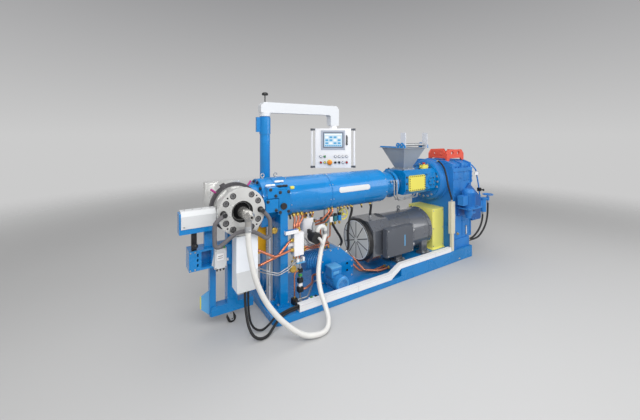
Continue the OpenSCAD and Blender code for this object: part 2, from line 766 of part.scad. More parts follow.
// Vacuum filter on its bracket, with stop valve and a bend down to the hose
module vacuum_filter() {
  x = post_x + 76 + 305;
  y = -200;
  color(black) {
    cy([x, y - 52, 640], 55, 100);
    blk([x - 14, y + 48, 650], [x + 14, -80, 690]);
  }
  color(pale) cz([x + 37, y, 655], 20, 35);
  color(white) {
    translate([x + 37 + 45, y, 690]) rotate([90, 0, 0]) rotate_extrude(angle = 180, $fn = 60)
      translate([45, 0]) circle(r = hose_r, $fn = 32);
    pipe([[x + 20, y - 52, 640], [x + 20, y - 86, 638], [x + 36, y - 92, 592]], 14, 18);
  }
}

module orange_guard() {
  color([0.9, 0.65, 0.05]) xz(-65, -57) polygon([[head_flange_x - 15, axis_z - 500],
    [head_flange_x + 75, axis_z - 500], [head_flange_x + 75, axis_z - 240],
    [head_flange_x + 12, axis_z - 240], [head_flange_x - 15, axis_z - 290]]);
}

// Jack that steadies the flange: foot, black spindle, two guide tubes and a brass cap
module support_jack() {
  x = flange_x - 38;
  color(blue) blk([x - 42, -155, low_h], [x + 34, -85, low_h + 40]);
  color(pale) for (d = [-26, 20]) cz([x + d, -120, low_h + 40], 10, axis_z - 280 - low_h);
  color(black) cz([x - 3, -120, low_h + 40], 11, axis_z - 300 - low_h - 40);
  color([0.8, 0.65, 0.3]) cz([x - 3, -120, axis_z - 300], 12, 45);
}

module hmi_mast() {
  color(blue) {
    cz([mast_x, mast_y, low_h], mast_r, mast_top - low_h);
    cz([mast_x, mast_y, low_h], mast_r + 15, 16);
    cz([mast_x, mast_y, mast_top - 190], mast_r + 5, 175);
    blk([mast_x - mast_r - 44, mast_y - 16, mast_top - 168], [mast_x - mast_r + 4, mast_y + 16, mast_top - 10]);
  }
}

// Swing arm with mitred elbows, turning collar and a small signal lamp over the mast
module hmi_arm() {
  color(white) {
    cz([mast_x, mast_y, mast_top + swivel_gap], mast_r + 6, arm_z - mast_top - swivel_gap);
    xz(mast_y - arm_w / 2, mast_y + arm_w / 2) polygon([[mast_x - 62, arm_z], [mast_x - 62, arm_z + arm_h - 36],
      [mast_x - 26, arm_z + arm_h], [arm_x + 24, arm_z + arm_h], [arm_x + 60, arm_z + arm_h - 36],
      [arm_x + 60, panel_top + 34], [arm_x - 60, panel_top + 34], [arm_x - 60, arm_z - 20],
      [arm_x - 80, arm_z]]);
  }
  color(black) {
    cz([mast_x, mast_y, arm_z + arm_h], 6, 76);
    translate([mast_x, mast_y, arm_z + arm_h + 76]) rotate_extrude($fn = 40)
      polygon([[0, 0], [30, 0], [34, 6], [32, 20], [22, 30], [0, 34]]);
  }
}

// Things on the panel are drawn facing -Y and then turned to the operator
module at_panel() {
  translate([arm_x, mast_y, 0]) rotate([0, 0, panel_turn]) children();
}

// Housing with a folded rim, its turning collar and two handle bars
module hmi_panel() {
  z0 = panel_top - panel_h;
  f = -panel_d / 2;
  bar_x = panel_w / 2 + bar_gap + bar_r;
  color(white) at_panel() {
    rblk([-panel_w / 2, f, z0], [panel_w / 2, -f - 26, panel_top], 8);
    blk([-panel_w / 2 + 30, -f - 26, z0 + 30], [panel_w / 2 - 30, -f, panel_top - 30]);
    cz([0, 0, panel_top], 50, 34 - swivel_gap);
    for (s = [-1, 1]) {
      cz([s * bar_x, f + 16, z0 + 14], bar_r, panel_h - 28);
      for (z = [z0 + 2, panel_top - 24]) {
        blk([min(s * panel_w / 2, s * (bar_x + 4)), f + 6, z],
          [max(s * panel_w / 2, s * (bar_x + 4)), f + 26, z + 22]);
        cz([s * bar_x, f + 16, z - 2], bar_r + 5, 26);
      }
    }
  }
}

// Screen bezel, push buttons and the mushroom-head stop button
module hmi_controls() {
  f = -panel_d / 2;
  zc = panel_top - 60 - screen_h / 2;
  color([0.2, 0.2, 0.22]) at_panel() {
    difference() {
      blk([-screen_w / 2 - 38, f - 6, zc - screen_h / 2 - 38], [screen_w / 2 + 34, f, zc + screen_h / 2 + 36]);
      blk([-screen_w / 2, f - 7, zc - screen_h / 2], [screen_w / 2, f - 3, zc + screen_h / 2]);
    }
    for (x = [-150, -104, 26, 72, 118, 164], z = [panel_top - 340, panel_top - 412])
      cy([x, f - 12, z], 15, 12);
    cy([-44, f - 14, panel_top - 412], 17, 14);
    cy([-44, f - 34, panel_top - 412], 28, 20);
    cz([164, f - 11, zc - 62], 6, 120);
    cy([164, f - 6, zc - 52], 8, 6);
  }
}

// Crosshead body in two sections, flat where the adapter and the stand meet it
module crosshead_body() {
  color(pale) difference() {
    union() {
      cy([head_x, disc_back, axis_z], head_r, 150);
      cy([head_x, disc_back + 190, axis_z], head_r, 300);
      blk([head_x - 176, disc_back + 490, axis_z - 150], [head_x + 150, disc_back + 560, axis_z + 176]);
    }
    blk([head_flat_x, -600, 0], [0, 600, 2000]);
    blk([-2500, -600, 0], [0, 600, head_flat_z]);
    for (a = [45:45:180]) translate([head_x, 0, axis_z]) rotate([0, -a, 0])
      blk([head_r - 12, disc_back + 40, -52], [head_r + 20, disc_back + 110, 52]);
  }
}

// Dark heater band with a clamp block at the top and two sensor plugs
module crosshead_band() {
  y = disc_back + 150;
  color([0.2, 0.2, 0.22]) difference() {
    union() {
      cy([head_x, y, axis_z], head_r + 26, 40);
      for (a = [55, 140]) translate([head_x, y + 20, axis_z]) rotate([0, 90 - a, 0])
        cz([0, 0, head_r + 18], 9, 58);
      translate([head_x, y, axis_z]) rotate([0, -28, 0]) blk([-20, 0, head_r + 16], [20, 40, head_r + 44]);
    }
    blk([head_flat_x, -600, 0], [0, 600, 2000]);
    blk([-2500, -600, 0], [0, 600, head_flat_z]);
  }
}

// Front disc with ten counterbored bolt places and four tapped holes
module crosshead_disc() {
  color(pale) difference() {
    cy([head_x, disc_y, axis_z], disc_r, disc_t);
    cy([head_x, disc_y - 1, axis_z], die_r, disc_t + 2);
    for (a = [0:30:330]) if (a % 180 != 90) translate([head_x, 0, axis_z]) rotate([0, -a, 0])
      cy([bolt_pitch_r, disc_y - 1, 0], bolt_pocket_r, bolt_pocket_d + 1);
    for (a = [45:90:315]) translate([head_x, 0, axis_z]) rotate([0, -a, 0])
      cy([bolt_pitch_r + 17, disc_y - 1, 0], 7, 26);
  }
}

// Mandrel and guide nose on the crosshead axis, with the socket for the vacuum hose
module mandrel() {
  tip = -disc_y + nose_len;
  color([0.3, 0.3, 0.32]) difference() {
    union() {
      translate([head_x, 0, axis_z]) rotate([90, 0, 0]) rotate_extrude($fn = 60) polygon([
        [0, -disc_back], [die_r - 18, -disc_back], [die_r - 18, -disc_back + 14],
        [nose_r + 4, -disc_y + 4], [nose_r, -disc_y + 20], [nose_r, tip - 45], [nose_r - 8, tip - 30],
        [core_r + 11, tip - 12], [core_r + 9, tip], [0, tip]]);
      cz([head_x, -tip + 75, axis_z - nose_r - 40], 26, 60);
    }
    cy([head_x, -tip - 1, axis_z], core_r, 136);
  }
}

// Insulated tempering pipe looped between the elbows in the two side ports of the disc
module temper_pipe() {
  y = disc_y - 40;
  l = head_x - bolt_pitch_r;
  m = head_x + bolt_pitch_r;
  z = axis_z;
  color(grey) {
    for (x = [l, m]) cy([x, y - temper_r - 3, z], temper_r + 3, disc_y + bolt_pocket_d - y + temper_r + 3);
    hose([[l, y, z], [l - 42, y, z - 26], [l - 64, y, z - 46], [l - 75, y, z - 76], [l - 75, y, z - 200],
      [l - 69, y, z - 224], [l - 50, y, z - 235], [l - 26, y, z - 226], [l + 70, y, z - 162],
      [l + 102, y, z - 150], [head_x - 15, y, z - 147], [head_x + 30, y, z - 150], [head_x + 105, y, z - 178],
      [m + 18, y, z - 224], [m + 42, y, z - 233], [m + 60, y, z - 222], [m + 68, y, z - 196],
      [m + 68, y, z - 102], [m + 60, y, z - 72], [m + 36, y, z - 38], [m, y, z]],
      temper_r, 12, [-0.85, 0, -0.52], [-0.69, 0, 0.72]);
  }
}

// Stand under the crosshead: column, side leg, plinth and the bracket for the cover
module head_column() {
  c = column_half;
  y0 = column_front;
  y1 = column_y + c;
  color(blue) {
    blk([head_x - c - 3, y0, plinth_z], [head_x + c + 3, y1, head_flat_z]);
    blk([head_x - 180, y0, plinth_z], [head_x + 190, y1, plinth_z + 80]);
    blk([head_x - 190, y0 + 12, plinth_z], [head_x - 140, y1 - 12, 590]);
    blk([head_x - 40, -275, 600], [head_x + 20, y0, 680]);
    xz(y0 + 30, y0 + 40) polygon([[head_x - 190, 330], [head_x - 262, 290], [head_x - 262, 190],
      [head_x - 190, plinth_z + 10]]);
  }
}

// Open console box with slots, carrying the terminal block and the clamp bracket
module head_console() {
  x0 = head_x - 380;
  x1 = head_x - column_half - 3;
  y0 = -260;
  color(blue) difference() {
    blk([x0, y0, 590], [x1, column_front, 750]);
    blk([x0 + 92, y0 - 1, 606], [x0 + 170, y0 + 90, 734]);
    for (z = [620, 660, 700]) blk([x0 + 58, y0 - 1, z], [x0 + 70, y0 + 40, z + 24]);
  }
  color(blue) blk([x0 + 120, -225, 750], [x0 + 200, -195, axis_z - 140]);
  color([0.93, 0.92, 0.86]) {
    rblk([head_x - 196, y0 - 40, 585], [head_x - 100, y0, 742], 8);
    cx([head_x - 100, y0 - 20, 640], 12, 16);
  }
  color(black) {
    blk([x0 + 22, -245, 750], [x0 + 60, -215, axis_z - 140]);
    cy([x0 + 40, -285, 800], 9, 42);
    translate([x0 + 40, -295, 800]) sphere(r = 20);
  }
}

// Sheet cover in front of the stand, with a kinked lower end
module head_cover() {
  color(white) yz(head_x - 50, head_x + 130) polygon([[disc_y, cover_top], [disc_y, 555],
    [disc_y - 22, cover_z], [-275, cover_z], [-275, cover_top]]);
}

// Tray with a folded sheet cover beside the crosshead
module cover_box() {
  x0 = head_x - 442;
  x1 = head_x - head_r - 2;
  z = axis_z - 100;
  color(blue) {
    blk([x0 - 12, -296, z - 40], [x1, -192, z]);
    blk([x0 - 12, -290, z], [x0, -196, z + 118]);
  }
  color(pale) yz(x0, x1) polygon([[-300, z], [-300, z + 96], [-272, z + 131], [-196, z + 131], [-196, z]]);
}

module caster_fork() {
  h = wheel_w / 2;
  color([0.7, 0.7, 0.72]) translate([caster_x, column_y, 0]) {
    cz([0, 0, plinth_z - 14], 36, 14 - swivel_gap);
    for (s = [-1, 1]) difference() {
      xz(s > 0 ? h + 5 : -h - 11, s > 0 ? h + 11 : -h - 5) polygon([[-22, plinth_z - 14], [30, plinth_z - 14],
        [36, wheel_r - 14], [12, wheel_r - 14]]);
      cy([24, s > 0 ? h + 4 : -h - 12, wheel_r], axle_r + axle_gap, 8);
    }
  }
}

module caster_wheel() {
  h = wheel_w / 2;
  color([0.25, 0.25, 0.27]) translate([caster_x + 24, column_y, wheel_r]) {
    cy([0, -h, 0], wheel_r, wheel_w);
    cy([0, -h - 11, 0], axle_r, wheel_w + 22);
  }
}

// Hand-picked route of the white hose: from the nose down to the floor and up to the filter bend
hose_top = [head_x, disc_y - nose_len + 75, axis_z - nose_r - 40];
hose_end = [post_x + 76 + 305 + 37 + 90, -200, 690];
hose_route = [hose_top, hose_top - [0, 0, 100], [-1700, -540, 740], [-1668, -560, 570], [-1605, -582, 400],
  [-1510, -606, 250], [-1395, -632, 125], [-1285, -662, 48], [-1180, -680, 26], [-1090, -668, 27],
  [-1030, -618, 62], [-1010, -545, 135], [-1003, -450, 235], [-970, -360, 350], [-895, -277, 490],
  [-825, -225, 600], hose_end - [0, 0, 50], hose_end];

module vacuum_hose() {
  color(white) hose(hose_route, hose_r, 10, [0, 0, -1], [0, 0, 1]);
}

// Black cables from under the sheet cover, over the floor and deck, into the duct's mouth
module head_cable() {
  x = jacket_front;
  y = duct_w / 2 - half_w;
  color(black) hose([[head_x + 40, -330, cover_z], [head_x + 40, -335, 300], [head_x + 38, -365, 210],
    [head_x + 42, -415, 120], [head_x + 68, -455, 55], [head_x + 120, -470, 20], [head_x + 190, -458, 16],
    [head_x + 260, -420, 44], [x - 205, y - 40, low_h + 20], [x - 120, y - 8, low_h + 24],
    [x - 40, y, low_h + 28], [x + 60, y, low_h + 30]], cable_r, 8, [0, 0, -1], [1, 0, 0]);
}

module head_cable_back() {
  x = jacket_front;
  y = duct_w / 2 - half_w;
  color(black) hose([[head_x + 68, -330, cover_z], [head_x + 68, -331, 290], [head_x + 72, -335, 180],
    [head_x + 88, -342, 90], [head_x + 125, -354, 34], [head_x + 180, -368, 18], [head_x + 235, -380, 52],
    [x - 245, y - 28, low_h + 34], [x - 190, y - 22, low_h + 43], [x - 110, y - 5, low_h + 47],
    [x - 40, y, low_h + 50], [x + 60, y, low_h + 51]], cable_r - 2, 8, [0, 0, -1], [1, 0, 0]);
}

module feed_cable() {
  x = gear_front - 55;
  color(black) hose([[thrust_x + 70, -thrust_r * 0.5 - 10, axis_z + thrust_r * 0.866 + 18],
    [thrust_x + 62, -195, axis_z + 248], [thrust_x + 48, -262, axis_z + 190],
    [thrust_x + 30, -312, axis_z + 90], [thrust_x + 28, -340, axis_z - 30],
    [x - 24, 21 - half_w + 4, axis_z - 150], [x - 4, 21 - half_w, axis_z - 205], [x, 21 - half_w, 790]],
    cable_r, 8, [0, -0.6, 0.8], [0, 0, -1]);
}

// Black hoses from the barrel down to the pump hood and to the motor's fan hood
slope = unit([145, 0, 170]);

function on_hood(x, y) = [pump_x + x, y, low_h + 205 + (300 - x) * 145 / 170];

module temper_hose_front() {
  e = on_hood(181, 40);
  color(black) hose([[pump_x + 31, 0, axis_z - jacket_r - 0.3], [pump_x + 34, 0, 770], [pump_x + 61, 4, 690],
    [pump_x + 148, 18, 560], [pump_x + 200, 30, 490], e + 72 * slope, e], temper_hose_r, 8, [0, 0, -1], -slope);
}

module temper_hose_back() {
  e = on_hood(237, -20);
  color(black) hose([[pump_x + 347, 0, axis_z - jacket_r - 0.3], [pump_x + 340, -2, 770], [pump_x + 298, -8, 660],
    [pump_x + 276, -14, 530], [pump_x + 282, -18, 420], e + 56 * slope, e], temper_hose_r, 8, [0, 0, -1], -slope);
}

module fan_hose() {
  color(black) hose([[motor_front + 237, 0, axis_z - jacket_r - 0.3], [motor_front + 234, 0, 790],
    [motor_front + 222, 0, 720], [motor_front + 218, 0, motor_z + fan_r - 6]], temper_hose_r, 8,
    [0, 0, -1], [0, 0, -1]);
}

module oil_hose_front() {
  x = gear_rear + 285;
  y = gear_y - 10;
  color(black) hose([[x - 16, y, oil_z - 133], [x - 18, y, oil_z - 210], [x - 50, y, oil_z - 300],
    [x - 120, y + 2, oil_z - 385], [x - 230, y + 8, oil_z - 455], [gear_rear - 70, y + 14, oil_z - 478]],
    oil_r, 8, [0, 0, -1], [-1, 0, 0]);
}

module oil_hose_rear() {
  x = gear_rear + 285;
  y = gear_y - 10;
  color(black) hose([[x + 120, y, oil_z + 14], [x + 120, y, oil_z - 100], [x + 108, y, oil_z - 210],
    [x + 62, y, oil_z - 325], [x - 30, y, oil_z - 420], [x - 150, y + 8, oil_z - 485],
    [gear_rear - 70, y + 50, oil_z - 510]], oil_r, 8, [0, 0, -1], [-1, 0, 0]);
}

base_frame();
cable_duct();
front_support();
clamp_block();
head_adapter();
barrel_front();
barrel_rear();
barrel_neck();
feed_box();
feed_cover();
feed_side_plate();
estop_box();
hopper();
hopper_brackets();
feed_roller();
feed_roller_back();
thrust_housing();
gearbox_case();
gearbox_lid();
lifting_yoke();
oil_pump();
oil_filter();
cable_conduit();
motor_body();
motor_fan_cover();
motor_terminal_box();
coupling_guard();
pump_housing();
pump_motor();
valve_group();
pipework();
vacuum_filter();
orange_guard();
support_jack();
hmi_mast();
hmi_arm();
hmi_panel();
hmi_controls();
crosshead_body();
crosshead_band();
crosshead_disc();
mandrel();
temper_pipe();
head_column();
head_console();
head_cover();
cover_box();
caster_fork();
caster_wheel();
vacuum_hose();
head_cable();
head_cable_back();
feed_cable();
temper_hose_front();
temper_hose_back();
fan_hose();
oil_hose_front();
oil_hose_rear();
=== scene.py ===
import bpy, bmesh, math
from mathutils import Vector, Matrix


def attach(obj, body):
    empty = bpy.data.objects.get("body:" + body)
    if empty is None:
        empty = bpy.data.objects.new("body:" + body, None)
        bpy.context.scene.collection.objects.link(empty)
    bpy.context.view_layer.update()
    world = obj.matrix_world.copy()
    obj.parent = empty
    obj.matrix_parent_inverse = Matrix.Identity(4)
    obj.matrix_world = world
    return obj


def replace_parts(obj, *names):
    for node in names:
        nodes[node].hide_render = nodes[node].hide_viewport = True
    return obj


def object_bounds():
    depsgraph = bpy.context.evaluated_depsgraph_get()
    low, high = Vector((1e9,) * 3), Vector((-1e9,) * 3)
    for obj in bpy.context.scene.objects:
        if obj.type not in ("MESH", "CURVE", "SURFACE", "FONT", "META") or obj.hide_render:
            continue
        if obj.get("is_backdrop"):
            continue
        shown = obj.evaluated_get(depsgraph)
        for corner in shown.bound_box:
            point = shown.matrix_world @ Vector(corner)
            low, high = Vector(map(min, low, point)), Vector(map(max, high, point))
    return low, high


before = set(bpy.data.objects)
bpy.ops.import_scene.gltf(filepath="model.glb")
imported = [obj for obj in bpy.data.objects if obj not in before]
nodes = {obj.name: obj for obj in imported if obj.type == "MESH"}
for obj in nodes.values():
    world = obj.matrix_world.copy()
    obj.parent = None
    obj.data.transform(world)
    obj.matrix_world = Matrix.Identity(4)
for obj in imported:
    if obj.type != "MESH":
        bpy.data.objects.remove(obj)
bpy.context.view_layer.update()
scene = bpy.context.scene
scene.view_settings.view_transform = "Standard"
mm = 0.001  # in metres
print("frame loaded,", len(nodes), "nodes")


def tint(r, g, b):  # screen bytes to linear colour
    parts = (r / 255, g / 255, b / 255)
    return tuple(c / 12.92 if c <= 0.04045 else ((c + 0.055) / 1.055) ** 2.4 for c in parts) + (1.0,)


# camera, level, with the picture shifted down
eye = {"place": (-2.504, -2.804, 1.660), "turn": -32.41, "lens": 17.22, "shift": -0.1176}
camData = bpy.data.cameras.new("viewer")
camData.lens, camData.sensor_width, camData.shift_y = eye["lens"], 36.0, eye["shift"]
camData.clip_end = 100
viewer = bpy.data.objects.new("viewer", camData)
viewer.location = eye["place"]
viewer.rotation_euler = (math.radians(90), 0, math.radians(eye["turn"]))
scene.collection.objects.link(viewer)
scene.camera = viewer


# node helpers
def fill(node, values):
    for k, v in values.items():
        node.inputs[k].default_value = v


def put(tree, kind, values=None, **settings):
    n = tree.nodes.new(kind)
    for k, v in settings.items():
        setattr(n, k, v)
    fill(n, values or {})
    return n


def wire(tree, a, out, b, into):
    tree.links.new(a.outputs[out], b.inputs[into])


def nodeGroup(name, ins, outs, kind="ShaderNodeTree"):
    g = bpy.data.node_groups.new(name, kind)
    for label, socket, value in ins:
        s = g.interface.new_socket(label, in_out="INPUT", socket_type=socket)
        if value is not None:
            s.default_value = value
    for label, socket in outs:
        g.interface.new_socket(label, in_out="OUTPUT", socket_type=socket)
    return g, put(g, "NodeGroupInput"), put(g, "NodeGroupOutput")


floatSocket, colorSocket, vectorSocket = "NodeSocketFloat", "NodeSocketColor", "NodeSocketVector"
noiseSpan = {"From Min": 0.3, "From Max": 0.7}  # where most of a noise texture's values lie
flatFrom = 0.985  # rounded and true normals this close count as flat


def makePaintTone():  # slow drift of lightness over a painted surface
    g, i, o = nodeGroup("paintTone", [("Paint", colorSocket, (1, 1, 1, 1)), ("Drift", floatSocket, 0.1),
                                      ("Scale", floatSocket, 4.0)],
                        [("Color", colorSocket), ("Patch", floatSocket)])
    t = put(g, "ShaderNodeTexCoord")
    n = put(g, "ShaderNodeTexNoise", {"Detail": 5.0, "Roughness": 0.6})
    r = put(g, "ShaderNodeMapRange", {**noiseSpan, "To Min": -1.0, "To Max": 1.0})
    m = put(g, "ShaderNodeMath", {2: 1.0}, operation="MULTIPLY_ADD")
    v = put(g, "ShaderNodeVectorMath", operation="SCALE")
    wire(g, t, "Object", n, "Vector"); wire(g, i, "Scale", n, "Scale"); wire(g, n, "Fac", r, "Value")
    wire(g, r, "Result", m, 0); wire(g, i, "Drift", m, 1)
    wire(g, i, "Paint", v, 0); wire(g, m, 0, v, "Scale")
    wire(g, v, 0, o, "Color"); wire(g, n, "Fac", o, "Patch")
    return g


def makeEdgeWearAndHighlight():  # bare or pale rubbed edges, and the painted edge highlight of the blue paints, from the rounded normal
    g, i, o = nodeGroup("edgeWearAndHighlight", [("Rounded", vectorSocket, (0, 0, 0)), ("Reach", floatSocket, 0.12),
                                     ("Scale", floatSocket, 30.0)], [("Mask", floatSocket)])
    geo = put(g, "ShaderNodeNewGeometry")
    d = put(g, "ShaderNodeVectorMath", operation="DOT_PRODUCT")
    r = put(g, "ShaderNodeMapRange", {"From Min": flatFrom, "To Min": 0.0, "To Max": 1.0})
    s = put(g, "ShaderNodeMath", {0: flatFrom}, operation="SUBTRACT")
    t = put(g, "ShaderNodeTexCoord")
    n = put(g, "ShaderNodeTexNoise", {"Detail": 4.0})
    k = put(g, "ShaderNodeMapRange", {"From Min": 0.42, "From Max": 0.66})
    m = put(g, "ShaderNodeMath", operation="MULTIPLY", use_clamp=True)
    wire(g, i, "Rounded", d, 0); wire(g, geo, "Normal", d, 1); wire(g, d, "Value", r, "Value")
    wire(g, i, "Reach", s, 1); wire(g, s, 0, r, "From Max")
    wire(g, t, "Object", n, "Vector"); wire(g, i, "Scale", n, "Scale"); wire(g, n, "Fac", k, "Value")
    wire(g, r, "Result", m, 0); wire(g, k, "Result", m, 1); wire(g, m, 0, o, "Mask")
    return g


def makeSettledDust():  # thin dust on faces that look up, broken by noise
    g, i, o = nodeGroup("settledDust", [("Amount", floatSocket, 0.2), ("Scale", floatSocket, 9.0)],
                        [("Mask", floatSocket)])
    geo = put(g, "ShaderNodeNewGeometry")
    x = put(g, "ShaderNodeSeparateXYZ")
    up = put(g, "ShaderNodeMapRange", {"From Min": 0.55, "From Max": 1.0})
    t = put(g, "ShaderNodeTexCoord")
    n = put(g, "ShaderNodeTexNoise", {"Detail": 6.0, "Roughness": 0.65})
    k = put(g, "ShaderNodeMapRange", {"From Min": 0.35, "From Max": 0.75})
    m = put(g, "ShaderNodeMath", operation="MULTIPLY")
    a = put(g, "ShaderNodeMath", operation="MULTIPLY", use_clamp=True)
    wire(g, geo, "Normal", x, 0); wire(g, x, "Z", up, "Value")
    wire(g, t, "Object", n, "Vector"); wire(g, i, "Scale", n, "Scale"); wire(g, n, "Fac", k, "Value")
    wire(g, up, "Result", m, 0); wire(g, k, "Result", m, 1)
    wire(g, m, 0, a, 0); wire(g, i, "Amount", a, 1); wire(g, a, 0, o, "Mask")
    return g


def makeFineGrain():  # orange peel, casting skin or brushing, by stretch
    g, i, o = nodeGroup("fineGrain", [("Scale", floatSocket, 500.0), ("Stretch", vectorSocket, (1, 1, 1))],
                        [("Height", floatSocket)])
    t = put(g, "ShaderNodeTexCoord")
    v = put(g, "ShaderNodeVectorMath", operation="MULTIPLY")
    n = put(g, "ShaderNodeTexNoise", {"Detail": 3.0, "Roughness": 0.55})
    wire(g, t, "Object", v, 0); wire(g, i, "Stretch", v, 1); wire(g, v, 0, n, "Vector")
    wire(g, i, "Scale", n, "Scale"); wire(g, n, "Fac", o, "Height")
    return g


paintTone, edgeWearAndHighlight, settledDust, fineGrain = makePaintTone(), makeEdgeWearAndHighlight(), makeSettledDust(), makeFineGrain()


def useGroup(tree, group, values):
    return put(tree, "ShaderNodeGroup", values, node_tree=group)


dustColor = tint(168, 162, 150)


def finish(name, color, rough=0.35, metal=0.0, drift=0.08, patch=3.0, wornAndLit=None, reach=0.12, dust=0.0,
           grain=600.0, stretch=(1, 1, 1), bump=0.03, edge=2.0, coat=0.0, spread=0.14, gloss=0.5):
    m = bpy.data.materials.new(name)
    m.use_nodes = True
    t = m.node_tree
    p = t.nodes["Principled BSDF"]
    fill(p, {"Metallic": metal, "Specular IOR Level": gloss, "Coat Weight": coat, "Coat Roughness": 0.05})
    tone = useGroup(t, paintTone, {"Paint": color, "Drift": drift, "Scale": patch})
    soft = put(t, "ShaderNodeBevel", {"Radius": edge * mm}, samples=4)
    layers = []  # masks with the colour that each lets through
    if wornAndLit:
        w = useGroup(t, edgeWearAndHighlight, {"Reach": reach})
        wire(t, soft, "Normal", w, "Rounded")
        layers.append((w, wornAndLit))
    if dust:
        layers.append((useGroup(t, settledDust, {"Amount": dust}), dustColor))
    base = tone.outputs["Color"]
    for mask, over in layers:
        x = put(t, "ShaderNodeMix", {7: over}, data_type="RGBA")  # 6 and 7 are its colour sockets
        wire(t, mask, "Mask", x, 0)
        t.links.new(base, x.inputs[6])
        base = x.outputs[2]
    t.links.new(base, p.inputs["Base Color"])
    r = put(t, "ShaderNodeMapRange", {**noiseSpan, "To Min": max(0.04, rough - spread / 2),
                                      "To Max": min(1.0, rough + spread)})
    wire(t, tone, "Patch", r, "Value"); wire(t, r, "Result", p, "Roughness")
    gr = useGroup(t, fineGrain, {"Scale": grain, "Stretch": stretch})
    b = put(t, "ShaderNodeBump", {"Strength": bump, "Distance": 0.002})
    wire(t, gr, "Height", b, "Height"); wire(t, soft, "Normal", b, "Normal"); wire(t, b, "Normal", p, "Normal")
    return m


# paints
# the pale edge colours of the blue paints are partly wear and partly a painted edge highlight
bluePaint = finish("bluePaint", tint(0, 124, 194), 0.22, drift=0.10, wornAndLit=tint(110, 184, 230), dust=0.05, coat=0.55,
                   gloss=0.3)
pumpPaint = finish("pumpPaint", tint(44, 134, 202), 0.28, drift=0.10, wornAndLit=tint(150, 204, 238), reach=0.08, dust=0.05,
                   coat=0.4, gloss=0.35)
gearPaint = finish("gearPaint", tint(44, 124, 198), 0.30, drift=0.12, patch=5.0, wornAndLit=tint(116, 166, 222), reach=0.08,
                   dust=0.06, bump=0.10, grain=260, gloss=0.3)
# darker blue that stands for shade: painted shade on the oil pump's bracket plate and in the pump motor's grille
paintedShadeBlue = finish("paintedShadeBlue", tint(20, 88, 160), 0.40, drift=0.12, patch=5.0, wornAndLit=tint(96, 132, 192), bump=0.10,
                   grain=260)
paleBlue = finish("paleBlue", tint(92, 164, 214), 0.36, drift=0.06, wornAndLit=tint(160, 204, 232))
motorPaint = finish("motorPaint", tint(84, 88, 96), 0.24, drift=0.08, wornAndLit=tint(150, 154, 160), dust=0.10, bump=0.05,
                    coat=1.0, gloss=0.8)
boxPaint = finish("boxPaint", tint(82, 86, 94), 0.40, drift=0.06, wornAndLit=tint(160, 162, 168), dust=0.08)
fanPaint = finish("fanPaint", tint(208, 208, 204), 0.42, drift=0.07, wornAndLit=tint(214, 214, 208), bump=0.04)
whitePaint = finish("whitePaint", tint(236, 236, 238), 0.36, drift=0.025, wornAndLit=tint(206, 206, 208), dust=0.05,
                    bump=0.04, grain=420)
armPaint = finish("armPaint", tint(214, 217, 221), 0.34, drift=0.02, wornAndLit=tint(196, 198, 202), dust=0.04, grain=420)
sheetWhite = finish("sheetWhite", tint(238, 242, 248), 0.34, drift=0.04, wornAndLit=tint(188, 188, 190))
coverGrey = finish("coverGrey", tint(208, 210, 212), 0.34, drift=0.04, wornAndLit=tint(170, 172, 174), dust=0.05)
panelGrey = finish("panelGrey", tint(168, 175, 188), 0.40, drift=0.04, wornAndLit=tint(180, 184, 190), grain=500)
bezelGrey = finish("bezelGrey", tint(104, 112, 128), 0.36, drift=0.04, grain=500)
lemonPaint = finish("lemonPaint", tint(230, 219, 94), 0.40, drift=0.04, wornAndLit=tint(196, 180, 70), dust=0.06)
# lemon yellow made lighter for the coupling guard: painted light against the shade it stands in
litGuardYellow = finish("litGuardYellow", tint(252, 245, 132), 0.36, drift=0.04, wornAndLit=tint(210, 196, 90), dust=0.04)
amberPaint = finish("amberPaint", tint(236, 176, 12), 0.42, drift=0.06, wornAndLit=tint(180, 130, 20))
coralPaint = finish("coralPaint", tint(224, 84, 62), 0.42, drift=0.10, wornAndLit=tint(236, 150, 130), dust=0.12, bump=0.06,
                    grain=300)

# bare and plated metals
hopperSheet = finish("hopperSheet", tint(156, 165, 176), 0.34, metal=0.25, drift=0.10, wornAndLit=tint(190, 194, 198),
                     grain=300, stretch=(1, 1, 0.05), bump=0.04)
plateSteel = finish("plateSteel", tint(216, 220, 228), 0.30, metal=0.25, drift=0.05, wornAndLit=tint(240, 242, 246),
                    grain=260, stretch=(1, 1, 0.06))
turnedSteel = finish("turnedSteel", tint(216, 216, 214), 0.28, metal=0.5, drift=0.06, wornAndLit=tint(232, 230, 224),
                     grain=240, stretch=(1, 6, 1), spread=0.12)
noseSteel = finish("noseSteel", tint(190, 188, 184), 0.24, metal=0.8, drift=0.06, wornAndLit=tint(230, 228, 222), grain=300,
                   bump=0.02)
# steel darkened to stand for shade in the bore, the pockets and the gap at the neck: painted shade
paintedShadeSteel = finish("paintedShadeSteel", tint(46, 45, 47), 0.32, metal=0.7, drift=0.14, wornAndLit=tint(120, 118, 116), grain=260,
                   stretch=(1, 5, 1), bump=0.05)
darkSteel = finish("darkSteel", tint(62, 62, 64), 0.38, metal=0.6, drift=0.14, wornAndLit=tint(140, 140, 140), grain=260,
                   bump=0.06)
bandSteel = finish("bandSteel", tint(74, 72, 76), 0.42, metal=0.35, drift=0.12, wornAndLit=tint(130, 130, 132))
screwSteel = finish("screwSteel", tint(128, 128, 130), 0.34, metal=0.5, drift=0.10, wornAndLit=tint(190, 190, 190),
                    edge=1.2)
zincPlate = finish("zincPlate", tint(188, 190, 192), 0.30, metal=0.75, drift=0.10, patch=20.0,
                   wornAndLit=tint(226, 226, 226))
copperTube = finish("copperTube", tint(212, 134, 104), 0.28, metal=0.75, drift=0.16, patch=14.0,
                    wornAndLit=tint(226, 150, 120), bump=0.02)
brassNut = finish("brassNut", tint(206, 172, 86), 0.28, metal=0.85, drift=0.10, patch=20.0, wornAndLit=tint(240, 220, 150))

